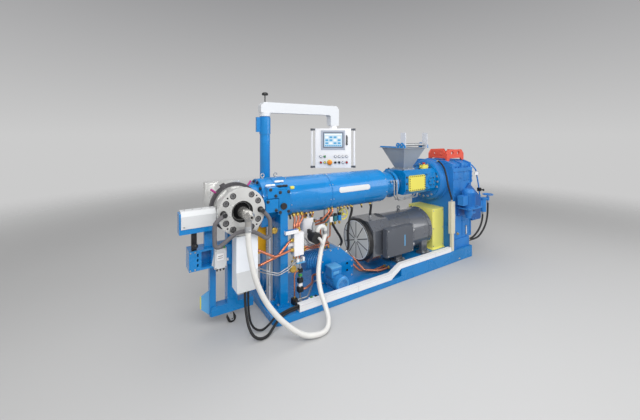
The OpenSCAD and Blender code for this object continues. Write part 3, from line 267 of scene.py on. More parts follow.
# rubber, foam and plastics
blackRubber = finish("blackRubber", tint(30, 30, 32), 0.55, drift=0.10, grain=800, bump=0.06, edge=0.6)
hoseWhite = finish("hoseWhite", tint(217, 216, 213), 0.38, drift=0.04, patch=6.0, grain=900, bump=0.02, edge=0.6,
                   coat=0.2)
foamGrey = finish("foamGrey", tint(104, 102, 105), 0.78, drift=0.12, patch=40.0, grain=1400, bump=0.25, edge=0.6)
blackPlastic = finish("blackPlastic", tint(28, 28, 30), 0.42, drift=0.06, grain=900, bump=0.05, edge=0.8)
beigePlastic = finish("beigePlastic", tint(214, 208, 186), 0.42, drift=0.04, wornAndLit=tint(190, 184, 160), grain=700)
magentaPlastic = finish("magentaPlastic", tint(168, 52, 128), 0.40, drift=0.05, edge=0.5)
redPlastic = finish("redPlastic", tint(196, 26, 22), 0.32, drift=0.04, edge=0.6)
greenPlastic = finish("greenPlastic", tint(58, 150, 72), 0.32, drift=0.04, edge=0.6)
orangePlastic = finish("orangePlastic", tint(238, 132, 24), 0.34, drift=0.04, edge=0.6)
tealPlastic = finish("tealPlastic", tint(36, 110, 120), 0.40, drift=0.06, edge=0.8)
print("finishes made:", len(bpy.data.materials))

# stage
floorLook = {"albedo": tint(190, 190, 190), "rough": 0.62, "gloss": 0.2, "radius": 14.0,
             "place": (-0.2, 0, -0.001), "fadeFrom": 4.2, "fadeTo": 9.5}
floorMesh = bmesh.new()
bmesh.ops.create_circle(floorMesh, cap_ends=True, radius=floorLook["radius"], segments=96)
floorData = bpy.data.meshes.new("studioFloor")
floorMesh.to_mesh(floorData); floorMesh.free()
studioFloor = bpy.data.objects.new("studioFloor", floorData)
scene.collection.objects.link(studioFloor)
studioFloor.location = floorLook["place"]
studioFloor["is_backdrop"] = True
floorMat = bpy.data.materials.new("floorPaint")
floorMat.use_nodes = True
floorTree = floorMat.node_tree
floorShader = floorTree.nodes["Principled BSDF"]
fill(floorShader, {"Base Color": floorLook["albedo"], "Roughness": floorLook["rough"],
                   "Specular IOR Level": floorLook["gloss"]})
floorCoord = put(floorTree, "ShaderNodeTexCoord")
fromMiddle = put(floorTree, "ShaderNodeVectorMath", operation="LENGTH")
fade = put(floorTree, "ShaderNodeMapRange", {"From Min": floorLook["fadeFrom"], "From Max": floorLook["fadeTo"]},
           interpolation_type="SMOOTHSTEP")
floorMix = put(floorTree, "ShaderNodeMixShader")
seeThrough = put(floorTree, "ShaderNodeBsdfTransparent")
wire(floorTree, floorCoord, "Object", fromMiddle, 0); wire(floorTree, fromMiddle, "Value", fade, "Value")
wire(floorTree, fade, "Result", floorMix, 0)
wire(floorTree, floorShader, 0, floorMix, 1); wire(floorTree, seeThrough, 0, floorMix, 2)
wire(floorTree, floorMix, 0, floorTree.nodes["Material Output"], "Surface")
floorData.materials.append(floorMat)

# the world lights the object evenly; what is seen of it is a grey ramp
backdrop = {"light": 0.48, "low": tint(203, 203, 203), "high": tint(150, 150, 152), "highAt": 0.42}
world = bpy.data.worlds.new("studio")
scene.world = world
world.use_nodes = True
worldTree = world.node_tree
evenLight = worldTree.nodes["Background"]
fill(evenLight, {"Color": (1, 1, 1, 1), "Strength": backdrop["light"]})
worldCoord = put(worldTree, "ShaderNodeTexCoord")
worldSplit = put(worldTree, "ShaderNodeSeparateXYZ")
ramp = put(worldTree, "ShaderNodeValToRGB")
low, high = ramp.color_ramp.elements
low.position, low.color = 0.0, backdrop["low"]
high.position, high.color = backdrop["highAt"], backdrop["high"]
seenGrey = put(worldTree, "ShaderNodeBackground")
rays = put(worldTree, "ShaderNodeLightPath")
seenDirect = put(worldTree, "ShaderNodeMath", operation="MAXIMUM")
seenAtAll = put(worldTree, "ShaderNodeMath", operation="MAXIMUM")
worldMix = put(worldTree, "ShaderNodeMixShader")
wire(worldTree, worldCoord, "Generated", worldSplit, 0); wire(worldTree, worldSplit, "Z", ramp, 0)
wire(worldTree, ramp, "Color", seenGrey, "Color")
wire(worldTree, rays, "Is Camera Ray", seenDirect, 0); wire(worldTree, rays, "Is Transmission Ray", seenDirect, 1)
wire(worldTree, seenDirect, 0, seenAtAll, 0); wire(worldTree, rays, "Is Glossy Ray", seenAtAll, 1)
wire(worldTree, seenAtAll, 0, worldMix, 0)
wire(worldTree, evenLight, 0, worldMix, 1); wire(worldTree, seenGrey, 0, worldMix, 2)
wire(worldTree, worldMix, 0, worldTree.nodes["World Output"], "Surface")

# lamps: place, aim, width, depth, power
lamps = {"key": ((-3.2, -3.6, 4.6), (-0.3, 0, 0.8), 4.0, 4.0, 150),
         "fill": ((3.4, -4.2, 2.8), (0.2, 0, 0.8), 3.0, 3.0, 80),
         "top": ((0.0, 0.4, 5.2), (0, 0, 0), 4.5, 4.5, 84),
         "strip": ((-1.0, -3.0, 2.5), (-0.5, 0, 1.0), 3.4, 0.07, 34)}
for name, (place, aim, wide, deep, power) in lamps.items():
    d = bpy.data.lights.new(name, "AREA")
    d.shape, d.size, d.size_y, d.energy = "RECTANGLE", wide, deep, power
    o = bpy.data.objects.new(name, d)
    o.location = place
    o.rotation_euler = (Vector(aim) - Vector(place)).to_track_quat("-Z", "Y").to_euler()
    scene.collection.objects.link(o)
print("stage and lamps ready")


# mesh helpers; shapes are drawn in mm, and piece() brings them to metres
def piece(name, bm, mats, body="frame", smooth=40):
    bmesh.ops.remove_doubles(bm, verts=bm.verts, dist=1e-3)
    bmesh.ops.recalc_face_normals(bm, faces=bm.faces)
    data = bpy.data.meshes.new(name)
    bm.to_mesh(data); bm.free()
    data.transform(Matrix.Scale(mm, 4))
    for m in mats:
        data.materials.append(m)
    if smooth:
        data.shade_smooth()
        data.set_sharp_from_angle(angle=math.radians(smooth))
    o = bpy.data.objects.new(name, data)
    scene.collection.objects.link(o)
    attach(o, body)
    return o


def catmull(points, steps, first=None, last=None):  # smooth line through the points, with its end directions
    p = [Vector(q) for q in points]
    a = p[0] - (Vector(first).normalized() * (p[1] - p[0]).length if first else p[1] - p[0])
    b = p[-1] + (Vector(last).normalized() * (p[-1] - p[-2]).length if last else p[-1] - p[-2])
    q = [a] + p + [b]
    line = []
    for i in range(1, len(q) - 2):
        for k in range(steps):
            t = k / steps
            line.append(0.5 * (2 * q[i] + (q[i + 1] - q[i - 1]) * t
                               + (2 * q[i - 1] - 5 * q[i] + 4 * q[i + 1] - q[i + 2]) * t * t
                               + (3 * q[i] - q[i - 1] - 3 * q[i + 1] + q[i + 2]) * t ** 3))
    return line + [p[-1].copy()]


def circle(u, v, sides):  # unit vectors round the plane of u and v
    turns = [2 * math.pi * k / sides for k in range(sides)]
    return [math.cos(a) * u + math.sin(a) * v for a in turns]


def skin(bm, rows, mat):  # quads between rows of vertices that each close on themselves
    for a, b in zip(rows, rows[1:]):
        for k in range(len(a)):
            m = (k + 1) % len(a)
            bm.faces.new((a[k], a[m], b[m], b[k])).material_index = mat


def sweep(bm, line, r, sides=20, mat=0, caps=True):  # tube along a line, with a frame that doesn't twist
    n = len(line)
    u = None
    rows = []
    for i in range(n):
        d = (line[min(i + 1, n - 1)] - line[max(i - 1, 0)]).normalized()
        if u is None:
            u = d.orthogonal().normalized()
        u = (u - u.dot(d) * d).normalized()
        rad = r(i / (n - 1)) if callable(r) else r
        rows.append([bm.verts.new(line[i] + rad * w) for w in circle(u, d.cross(u), sides)])
    skin(bm, rows, mat)
    if caps:
        for row in (rows[0][::-1], rows[-1]):
            bm.faces.new(row).material_index = mat


def lathe(bm, profile, at, axis, sides=32, mat=0):  # profile of (along, radius), closed by its own ends
    axis = Vector(axis).normalized()
    u = axis.orthogonal().normalized()
    spokes = circle(u, axis.cross(u), sides)
    rows = []
    for s, r in profile:
        c = Vector(at) + axis * s
        rows.append([bm.verts.new(c + r * w) for w in spokes] if r > 1e-4 else [bm.verts.new(c)])
    for a, b in zip(rows, rows[1:]):
        for k in range(sides):
            m = (k + 1) % sides
            corners = [a[k % len(a)], a[m % len(a)], b[m % len(b)], b[k % len(b)]]
            corners = [x for j, x in enumerate(corners) if x not in corners[:j]]
            if len(corners) > 2:
                bm.faces.new(corners).material_index = mat


def rod(bm, at, axis, r, length, sides, mat=0):
    lathe(bm, [(0, 0), (0, r), (length, r), (length, 0)], at, axis, sides, mat)


def slab(bm, lo, hi, bevel=0.0, mat=0, turn=None):  # box with rounded edges
    a, b = Vector(lo), Vector(hi)
    m = Matrix.Translation((a + b) / 2) @ Matrix.Diagonal((*(b - a), 1))
    if turn is not None:
        m = turn @ m
    made = bmesh.ops.create_cube(bm, size=1.0, matrix=m)
    for f in {f for v in made["verts"] for f in v.link_faces}:
        f.material_index = mat
    if bevel:
        edges = {e for v in made["verts"] for e in v.link_edges}
        bmesh.ops.bevel(bm, geom=list(edges), offset=bevel, segments=2, affect="EDGES", profile=0.5,
                        clamp_overlap=True, material=-1)


near, back, upward, downward, toHead, toGear = (0, -1, 0), (0, 1, 0), (0, 0, 1), (0, 0, -1), (-1, 0, 0), (1, 0, 0)

# places shared by several pieces
headX, discY, noseLen, noseR = -1710, -390, 215, 40
axisZ, jacketR, neckR, collarR = 1040, 194, 150, 105
halfW, lowH, highH, ductX, ductY = 380, 60, 150, -1180, -355
gearFront, feedEnd, thrustR = 1135, 1000, 275
pumpX, motorFront, motorZ = -631, -225, 430


def onJacket(x, reach, angle):  # point at a reach from the barrel's axis, the angle in degrees from straight down
    a = math.radians(angle)
    return (x, -reach * math.sin(a), axisZ - reach * math.cos(a))


# cords, on the same routes as the solids
slope = Vector((145, 0, 170)).normalized()  # normal of the pump hood's slanted side


def offSlope(x, y, z, away):
    return tuple(Vector((x, y, z)) + slope * away)


rubberHose = {"look": blackRubber, "slot": "black_rubber", "first": downward}
cords = {
    "vacuumHose": {
        "node": "vacuum_hose", "r": 22, "look": hoseWhite, "stiff": "medium", "slot": "white_hose", "first": downward,
        "last": upward,
        "route": [(headX, discY - noseLen + 75, axisZ - noseR - 40), (headX, -530, 860), (-1700, -540, 740),
                  (-1668, -560, 570), (-1605, -582, 400), (-1510, -606, 250), (-1395, -632, 125), (-1285, -662, 48),
                  (-1180, -680, 26), (-1090, -668, 27), (-1030, -618, 62), (-1010, -545, 135), (-1003, -450, 235),
                  (-970, -360, 350), (-895, -277, 490), (-825, -225, 600), (-790, -200, 640), (-790, -200, 690)]},
    "headCable": {
        **rubberHose, "node": "head_cable", "r": 11, "stiff": "medium", "last": toGear,
        "route": [(headX + 40, -330, 400), (headX + 40, -335, 300), (headX + 38, -365, 210), (headX + 42, -415, 120),
                  (headX + 68, -455, 55), (headX + 120, -470, 20), (headX + 190, -458, 16), (headX + 260, -420, 44),
                  (ductX - 205, ductY - 40, lowH + 20), (ductX - 120, ductY - 8, lowH + 24),
                  (ductX - 40, ductY, lowH + 28), (ductX + 60, ductY, lowH + 30)]},
    "headCableBack": {
        **rubberHose, "node": "head_cable_back", "r": 9, "stiff": "medium", "last": toGear,
        "route": [(headX + 68, -330, 400), (headX + 68, -331, 290), (headX + 72, -335, 180), (headX + 88, -342, 90),
                  (headX + 125, -354, 34), (headX + 180, -368, 18), (headX + 235, -380, 52),
                  (ductX - 245, ductY - 28, lowH + 34), (ductX - 190, ductY - 22, lowH + 43),
                  (ductX - 110, ductY - 5, lowH + 47), (ductX - 40, ductY, lowH + 50),
                  (ductX + 60, ductY, lowH + 51)]},
    "feedCable": {
        **rubberHose, "node": "feed_cable", "r": 11, "stiff": "medium", "first": (0, -0.6, 0.8), "last": downward,
        "route": [(feedEnd + 70, -thrustR * 0.5 - 10, axisZ + thrustR * 0.866 + 18),
                  (feedEnd + 62, -195, axisZ + 248), (feedEnd + 48, -262, axisZ + 190),
                  (feedEnd + 30, -312, axisZ + 90), (feedEnd + 28, -340, axisZ - 30),
                  (gearFront - 79, 25 - halfW, axisZ - 150), (gearFront - 59, 21 - halfW, axisZ - 205),
                  (gearFront - 55, 21 - halfW, 790)]},
    "temperHoseFront": {
        **rubberHose, "node": "temper_hose_front", "r": 14, "stiff": "stiff", "last": tuple(-slope),
        "route": [(pumpX + 31, 0, 845.7), (pumpX + 34, 0, 770), (pumpX + 61, 4, 690), (pumpX + 148, 18, 560),
                  (pumpX + 200, 30, 490), offSlope(pumpX + 181, 40, lowH + 306.5, 72),
                  (pumpX + 181, 40, lowH + 306.5)]},
    "temperHoseBack": {
        **rubberHose, "node": "temper_hose_back", "r": 14, "stiff": "stiff", "last": tuple(-slope),
        "route": [(pumpX + 347, 0, 845.7), (pumpX + 340, -2, 770), (pumpX + 298, -8, 660), (pumpX + 276, -14, 530),
                  (pumpX + 282, -18, 420), offSlope(pumpX + 237, -20, lowH + 258.735, 56),
                  (pumpX + 237, -20, lowH + 258.735)]},
    "fanHose": {
        **rubberHose, "node": "fan_hose", "r": 14, "stiff": "stiff", "last": downward,
        "route": [(motorFront + 237, 0, 845.7), (motorFront + 234, 0, 790), (motorFront + 222, 0, 720),
                  (motorFront + 218, 0, 664)]},
    "oilHoseFront": {
        **rubberHose, "node": "oil_hose_front", "r": 12, "stiff": "stiff", "last": toHead,
        "route": [(1829, -340, 557), (1827, -340, 480), (1795, -340, 390), (1725, -338, 305), (1615, -332, 235),
                  (1490, -326, 212)]},
    "oilHoseRear": {
        **rubberHose, "node": "oil_hose_rear", "r": 12, "stiff": "stiff", "last": toHead,
        "route": [(1965, -340, 704), (1965, -340, 590), (1953, -340, 480), (1907, -340, 365), (1815, -340, 270),
                  (1695, -332, 205), (1490, -290, 180)]},
}
for name, c in cords.items():
    line = catmull(c["route"], 9, c["first"], c["last"])
    bm = bmesh.new()
    sweep(bm, line, c["r"], 20)
    o = piece(name, bm, [c["look"]])
    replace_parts(o, c["node"])
print("cords laid:", len(cords))

# finishes on the solids
nodeLooks = [
    (bluePaint, "base_frame front_support clamp_block head_adapter barrel_front barrel_rear barrel_neck"),
    (bluePaint, "feed_box feed_side_plate hopper_brackets pump_housing hmi_mast head_column head_console"),
    (gearPaint, "thrust_housing gearbox_case gearbox_lid oil_pump oil_filter"),
    (whitePaint, "cable_duct valve_group hmi_panel"), (sheetWhite, "head_cover"),
    (armPaint, "hmi_arm"), (coverGrey, "cover_box"),
    (lemonPaint, "feed_cover estop_box"), (litGuardYellow, "coupling_guard"),
    (amberPaint, "orange_guard"), (coralPaint, "lifting_yoke"),
    (motorPaint, "motor_body"), (fanPaint, "motor_fan_cover"),
    (boxPaint, "motor_terminal_box"), (pumpPaint, "pump_motor"),
    (zincPlate, "feed_roller feed_roller_back support_jack caster_fork"), (hopperSheet, "hopper"),
    (bandSteel, "crosshead_band"), (turnedSteel, "crosshead_body crosshead_disc"), (noseSteel, "mandrel"),
    (beigePlastic, "cable_conduit"), (blackPlastic, "vacuum_filter hmi_controls"), (blackRubber, "caster_wheel"),
    (copperTube, "pipework"), (foamGrey, "temper_pipe"),
]
for look, names in nodeLooks:
    for n in names.split():
        d = nodes[n].data
        d.materials.clear()
        d.materials.append(look)


def repaintIf(node, look, test):  # test takes a face's middle in mm and its normal
    d = nodes[node].data
    d.materials.append(look)
    for f in d.polygons:
        if test(f.center * 1000, f.normal):
            f.material_index = len(d.materials) - 1


def inside(c, boxes, slack=0.0):
    return any(all(lo[i] - slack <= c[i] <= hi[i] + slack for i in range(3)) for lo, hi in boxes)


def repaint(node, look, *boxes):  # faces with their middle inside any of the boxes
    repaintIf(node, look, lambda c, n: inside(c, boxes, 0.2))


repaint("clamp_block", darkSteel, ((-1310, -244, 960), (-1230, -225.3, 1040)),
        ((-1310, 225.3, 960), (-1230, 244, 1040)))
repaint("estop_box", redPlastic, ((800, -130, 1273.5), (880, -80, 1300)))
repaint("hopper_brackets", plateSteel, ((363.6, -223, 1496), (371.5, -143, 1700)),
        ((764.5, -223, 1496), (772.4, -143, 1700)))
repaint("oil_filter", zincPlate, ((1561, -308, 880), (1640, -270, 1200)))
repaint("vacuum_filter", zincPlate, ((-902, -222, 656), (-858, -178, 689)))
repaint("vacuum_filter", hoseWhite, ((-915, -330, 540), (-840, -252.5, 665)), ((-905, -225, 690), (-760, -175, 760)))
repaint("support_jack", bluePaint, ((-1402, -158, 59), (-1322, -84, 101)))
repaint("support_jack", plateSteel, ((-1373, -132, 100.5), (-1349, -108, 739)))
repaint("support_jack", brassNut, ((-1374, -133, 739), (-1348, -107, 790)))
repaint("cover_box", bluePaint, ((-2170, -300, 895), (-1880, -190, 939.9)),
        ((-2166, -292, 940.2), (-2152.2, -194, 1060)))
repaint("head_console", coverGrey, ((-1910, -301, 580), (-1809, -260.2, 745)),
        ((-1811, -295, 620), (-1790, -265, 660)))
repaint("head_console", blackPlastic, ((-2070, -320, 750.2), (-2020, -212, 900)))
repaint("hmi_arm", blackPlastic, ((-1280, 250, 2009.5), (-1190, 350, 2130)))
repaint("valve_group", bluePaint, ((-1263, -266, 769), (-1129, -224, 771)), ((-1263, -266, 734), (-1129, -224, 736)))
fromMotor = lambda c: math.hypot(c.y, c.z - motorZ)
fromHead = lambda c: math.hypot(c.x - headX, c.z - axisZ)
headAngle = lambda c: math.degrees(math.atan2(c.z - axisZ, c.x - headX))
# fan cover: black outer rim and dark slot faces, both painted shade
repaintIf("motor_fan_cover", blackPlastic, lambda c, n: fromMotor(c) > 233)
repaintIf("motor_fan_cover", darkSteel, lambda c, n: motorFront + 0.2 < c.x < motorFront + 20 and fromMotor(c) < 223)
repaintIf("motor_terminal_box", zincPlate, lambda c, n: c.x > 382.2)
# inside the bore, on the pocket walls and in the mandrel's hole the steel is painted dark: painted shade
repaintIf("mandrel", paintedShadeSteel, lambda c, n: c.y > -400)
repaintIf("mandrel", blackPlastic, lambda c, n: fromHead(c) < 9.3)
repaintIf("crosshead_disc", paintedShadeSteel,
          lambda c, n: fromHead(c) < 87.5 or (-389.5 < c.y < -341 and 118 < fromHead(c) < 182))
repaintIf("crosshead_band", magentaPlastic,
          lambda c, n: fromHead(c) > 212 and min(abs(headAngle(c) - 55), abs(headAngle(c) - 140)) < 5)
# dark coupling by the feed box, partly painted shade of the gap between the neck and the box
repaintIf("barrel_neck", darkSteel, lambda c, n: c.x > 322)
repaintIf("pump_housing", blackPlastic, lambda c, n: -79.8 < c.y < -50 and abs(c.x + 416) < 13.5)
repaintIf("head_cover", coverGrey, lambda c, n: c.z < 555 and n.y < -0.5)
# bracket plate behind the oil pump painted darker: painted shade
repaintIf("oil_filter", paintedShadeBlue, lambda c, n: -350.2 < c.y < -329.8 and c.x < 1775)
repaintIf("head_column", paleBlue, lambda c, n: c.x < -1900.5 and c.z > 120)
repaintIf("thrust_housing", bluePaint, lambda c, n: c.x < 1000.5)
print("solids finished")


# repeating fasteners, grown on points by geometry nodes
def growTree(name, ins):
    geometry = ("Geometry", "NodeSocketGeometry")
    sockets = [(*geometry, None), *ins, ("Metal", "NodeSocketMaterial", None)]
    return nodeGroup(name, sockets, [geometry], "GeometryNodeTree")


def scaled(g, node, out, by):
    m = put(g, "ShaderNodeMath", {1: by}, operation="MULTIPLY")
    wire(g, node, out, m, 0)
    return m


def lifted(g, mesh, height):  # moves a mesh up by a value
    x = put(g, "ShaderNodeCombineXYZ")
    t = put(g, "GeometryNodeTransform")
    wire(g, height, 0, x, "Z"); wire(g, mesh, 0, t, "Geometry"); wire(g, x, 0, t, "Translation")
    return t


def standOn(g, i, o, shape, turn):  # instances on the points; turn makes a rotation of the facing attribute
    a = put(g, "GeometryNodeInputNamedAttribute", {"Name": "facing"}, data_type="FLOAT_VECTOR")
    p = put(g, "GeometryNodeInstanceOnPoints")
    z = put(g, "GeometryNodeRealizeInstances")
    m = put(g, "GeometryNodeSetMaterial")
    g.links.new(a.outputs["Attribute"], turn)
    wire(g, turn.node, 0, p, "Rotation"); wire(g, i, "Geometry", p, "Points"); wire(g, shape, 0, p, "Instance")
    wire(g, p, 0, z, 0); wire(g, z, 0, m, "Geometry"); wire(g, i, "Metal", m, "Material"); wire(g, m, 0, o, 0)


def makeHexBolts():  # washer, six-sided head and a low crown
    g, i, o = growTree("hexBolts", [("Across", floatSocket, 0.012), ("Height", floatSocket, 0.008),
                                    ("Washer", floatSocket, 0.015)])
    disc = put(g, "GeometryNodeMeshCylinder", {"Vertices": 20, "Depth": 0.0024})
    head = put(g, "GeometryNodeMeshCylinder", {"Vertices": 6})
    crown = put(g, "GeometryNodeMeshCone", {"Vertices": 18})
    wire(g, i, "Washer", disc, "Radius"); wire(g, i, "Across", head, "Radius"); wire(g, i, "Height", head, "Depth")
    wire(g, scaled(g, i, "Across", 0.90), 0, crown, "Radius Bottom")
    wire(g, scaled(g, i, "Across", 0.62), 0, crown, "Radius Top")
    wire(g, scaled(g, i, "Height", 0.16), 0, crown, "Depth")
    join = put(g, "GeometryNodeJoinGeometry")
    for part, share in ((disc, 0.1), (head, 0.62), (crown, 1.12)):
        wire(g, lifted(g, part, scaled(g, i, "Height", share)), 0, join, 0)
    standOn(g, i, o, join, put(g, "FunctionNodeAlignRotationToVector", axis="Z").inputs["Vector"])
    return g


def makeCapScrews():  # round head with a sunk socket
    g, i, o = growTree("capScrews", [("Head", floatSocket, 0.008), ("Height", floatSocket, 0.006),
                                     ("Socket", floatSocket, 0.55)])
    c = put(g, "GeometryNodeMeshCircle", {"Vertices": 18}, fill_type="NGON")
    up = put(g, "GeometryNodeExtrudeMesh", mode="FACES")
    rim = put(g, "GeometryNodeExtrudeMesh", {"Offset Scale": 0.0}, mode="FACES")
    shrink = put(g, "GeometryNodeScaleElements", domain="FACE")
    down = put(g, "GeometryNodeExtrudeMesh", mode="FACES")
    wire(g, i, "Head", c, "Radius"); wire(g, c, 0, up, "Mesh"); wire(g, i, "Height", up, "Offset Scale")
    wire(g, up, "Mesh", rim, "Mesh"); wire(g, up, "Top", rim, "Selection"); wire(g, rim, "Mesh", shrink, "Geometry")
    wire(g, rim, "Top", shrink, "Selection"); wire(g, i, "Socket", shrink, "Scale"); wire(g, shrink, 0, down, "Mesh")
    wire(g, rim, "Top", down, "Selection"); wire(g, scaled(g, i, "Height", -0.6), 0, down, "Offset Scale")
    standOn(g, i, o, down, put(g, "FunctionNodeAlignRotationToVector", axis="Z").inputs["Vector"])
    return g


def makeBars():  # slots and fins; the facing attribute holds an Euler turn here
    g, i, o = growTree("bars", [("Size", vectorSocket, (0.01, 0.1, 0.002))])
    bar = put(g, "GeometryNodeMeshCube")
    wire(g, i, "Size", bar, "Size")
    standOn(g, i, o, bar, put(g, "FunctionNodeEulerToRotation").inputs[0])
    return g


hexBolts, capScrews, bars = makeHexBolts(), makeCapScrews(), makeBars()


def grow(name, tree, spots, values, look):  # spots: (place in mm, facing or turn); values in metres
    data = bpy.data.meshes.new(name)
    data.from_pydata([Vector(p) * mm for p, f in spots], [], [])
    a = data.attributes.new("facing", "FLOAT_VECTOR", "POINT")
    for k, (p, f) in enumerate(spots):
        a.data[k].vector = Vector(f) if tree == bars else Vector(f).normalized()
    o = bpy.data.objects.new(name, data)
    scene.collection.objects.link(o)
    mod = o.modifiers.new("grow", "NODES")
    mod.node_group = tree
    inputs = {"Metal": look, **values}
    for item in tree.interface.items_tree:
        if item.in_out == "INPUT" and item.name in inputs:
            mod[item.identifier] = inputs[item.name]
    made = bpy.data.meshes.new_from_object(o.evaluated_get(bpy.context.evaluated_depsgraph_get()))
    o.modifiers.clear()
    o.data = made
    made.name = name
    made.materials.clear()
    made.materials.append(look)
    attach(o, "frame")


def bolts(name, spots, across, height, washer, look=zincPlate):  # sizes in mm
    grow(name, hexBolts, spots, {"Across": across * mm, "Height": height * mm, "Washer": washer * mm}, look)


def screws(name, spots, head, height, look=zincPlate, socket=0.55):
    grow(name, capScrews, spots, {"Head": head * mm, "Height": height * mm, "Socket": socket}, look)


def ring(x, y, z, r, angles, axis, facing=None):  # spots on a circle round an axis, facing out if not told
    spots = []
    for a in angles:
        c, s = r * math.cos(math.radians(a)), r * math.sin(math.radians(a))
        out = {"x": (0, c, s), "y": (c, 0, s), "z": (c, s, 0)}[axis]
        spots.append(((x + out[0], y + out[1], z + out[2]), facing or out))
    return spots


def bothSides(pairs, y):  # pairs of (x, z), on the near and the far side
    return [((x, -y, z), near) for x, z in pairs] + [((x, y, z), back) for x, z in pairs]


def onTop(xs, ys, z):
    return [((x, y, z), upward) for x in xs for y in ys]


def onFront(xs, zs, y):
    return [((x, y, z), near) for x in xs for z in zs]


twelve = range(15, 375, 30)  # degrees
screws("discScrews", ring(headX, discY + 30, axisZ, 152, (30, 60, 120, 150, 210, 240, 300, 330), "y", near),
       19.5, 26, screwSteel, 0.56)
screws("flangeScrews", ring(-1450, 0, axisZ, 174, twelve, "x", toHead), 13, 14, darkSteel)
earSpots = [(-1215, 1128), (-1300, 1128), (-1215, 944), (-1300, 944), (-1395, 1160), (-1345, 1100)]
bolts("earBolts", bothSides(earSpots, 225) + bothSides([(-1425, 1056), (-1345, 972)], 235), 12.5, 11, 15.5, darkSteel)
jacketRows = [ring(x, 0, axisZ, jacketR, range(15, 375, 45), "x") for x in (-1162, -708, -672, 86)]
screws("jacketScrews", sum(jacketRows, []), 5.5, 4)
screws("coverScrews", onFront(range(477, 740, 36), (967, 1138), -205)
       + onFront((466, 742), range(996, 1120, 28), -205), 6.2, 5, darkSteel)
bolts("feedBolts", bothSides([(424, 972), (424, 1052), (424, 1132)], 190) + onTop((430, 730, 940), (125, -125), 1213),
      10.5, 9, 13, darkSteel)
screws("sidePlateScrews", onFront((780, 954), (976, 1144), -205)
       + ring(870, -217, 1055, 49, range(0, 360, 60), "y", near), 7.5, 6, darkSteel)
feedFlange = ring(975, 0, axisZ, 222, range(0, 360, 18), "x", toHead)
bolts("feedFlangeBolts", [q for q in feedFlange if abs(q[0][1]) > 206 or not 894 <= q[0][2] <= 1232], 12, 10, 14.5)
bolts("lidBolts", onTop(range(1175, 1501, 65), (-328, 328), 1212), 11, 10, 13.5, gearPaint)
caseSpots = [(1145, z) for z in range(330, 1180, 105)] + [(1550, z) for z in (1030, 1090, 1150)]
archSpots = [((1135, y, z), toHead) for y, z in ((-308, 1236), (308, 1236), (-228, 1280), (228, 1280))]
bolts("caseBolts", bothSides(caseSpots, 344) + archSpots, 9, 8, 10.5, gearPaint)
bolts("sumpBolts", onTop(range(1195, 1436, 80), (-337.5, 337.5), 267), 5.5, 8, 6.2, gearPaint)
screws("terminalScrews", onFront((-31, 362), (300, 580), -334), 7, 4)
bolts("shieldBolts", ring(798, 0, motorZ, 255, twelve, "x"), 10, 9, 12.5, motorPaint)
bolts("footBolts", onTop((205, 300, 658, 752), (-245, 245), 176), 13, 12, 18)
screws("guardScrews", bothSides([(x, z) for x in (920, 1110) for z in (190, 420, 655)], 200), 8, 5)
bolts("postBolts", onTop((-1309, -1211), (-200, -95, 95, 200), 80), 8.5, 8, 10.5)
bolts("mastBolts", ring(-1236, 300, 76, 62.5, range(0, 360, 60), "z", upward), 5.5, 6, 6.8)
screws("trayScrews", onTop((-2120, -2060, -1990, -1925), (-232,), 1071) + onFront((-2130, -1915), (958,), -300),
       5.5, 4)
bolts("hopperBolts", [((568 + a, b, 1223), upward) for a in (-87, 0, 87) for b in (-87, 0, 87) if a or b],
      8.5, 7, 10.5)
bolts("bracketBolts", [((x, y, 1508), f) for x, f in ((351.5, toHead), (784.5, toGear)) for y in (-205, -142, -92)],
      7.5, 6, 9)
print("fasteners grown")


# rigid pipes with bends and nuts
def bentLine(points, trim, steps=5):  # straight runs with their corners rounded, trim mm back from each
    p = [Vector(q) for q in points]
    line = [p[0]]
    for k in range(1, len(p) - 1):
        a = p[k] + (p[k - 1] - p[k]).normalized() * trim
        b = p[k] + (p[k + 1] - p[k]).normalized() * trim
        line += [(1 - t) ** 2 * a + 2 * t * (1 - t) * p[k] + t * t * b for t in [j / steps for j in range(steps + 1)]]
    return line + [p[-1]]


def nuts(bm, line, r, length, mat, sides=6, skip=0.0):  # one at each end of a line, skip mm in from it
    profile = [(0, 0), (0, r * 0.9), (length * 0.12, r), (length * 0.88, r), (length, r * 0.9), (length, 0)]
    for a, b in ((line[0], line[1]), (line[-1], line[-2])):
        along = (b - a).normalized()
        lathe(bm, profile, a + along * skip, along, sides, mat)


def tube(bm, points, trim, r, mat, nutMat=None):
    line = bentLine(points, trim)
    sweep(bm, line, r, 14, mat)
    if nutMat is not None:
        nuts(bm, line, r * 1.55, r * 2, nutMat)


blockX = -1222  # valve block by the front post
copperRoutes = [([(blockX + 55, -234, 668), (blockX + 18, -234, 668), (blockX - 120, -262, 560),
                  (blockX - 290, -240, 505), (blockX - 370, -100, 512), (-1665, -100, 512)], 28),
                ([(blockX + 55, -234, 575), (blockX + 18, -234, 575), (blockX - 160, -290, 570),
                  (blockX - 300, -240, 645), (blockX - 370, -100, 652), (-1665, -100, 652)], 28),
                ([(blockX + 160, -210, 545), (blockX + 225, -210, 545), (pumpX - 49, -20, 500),
                  (pumpX - 49, -20, lowH + 368)], 26)]
for k in range(3):  # risers from the block to the jacket
    foot, head = blockX + 75 + 30 * k, blockX + 110 + 44 * k
    copperRoutes.append(([(foot, -205 + 8 * k, 730), (foot, -205 + 8 * k, 790), onJacket(head, 250, 38),
                          onJacket(head, jacketR + 0.3, 38)], 22))
bm = bmesh.new()
for route, trim in copperRoutes:
    line = bentLine(route, trim)
    sweep(bm, line, 11.5, 16, 0)
    nuts(bm, line, 18.5, 24, 1)
    nuts(bm, line, 15.5, 12, 1, 16, 24)
neckX, feedX = 104, 400
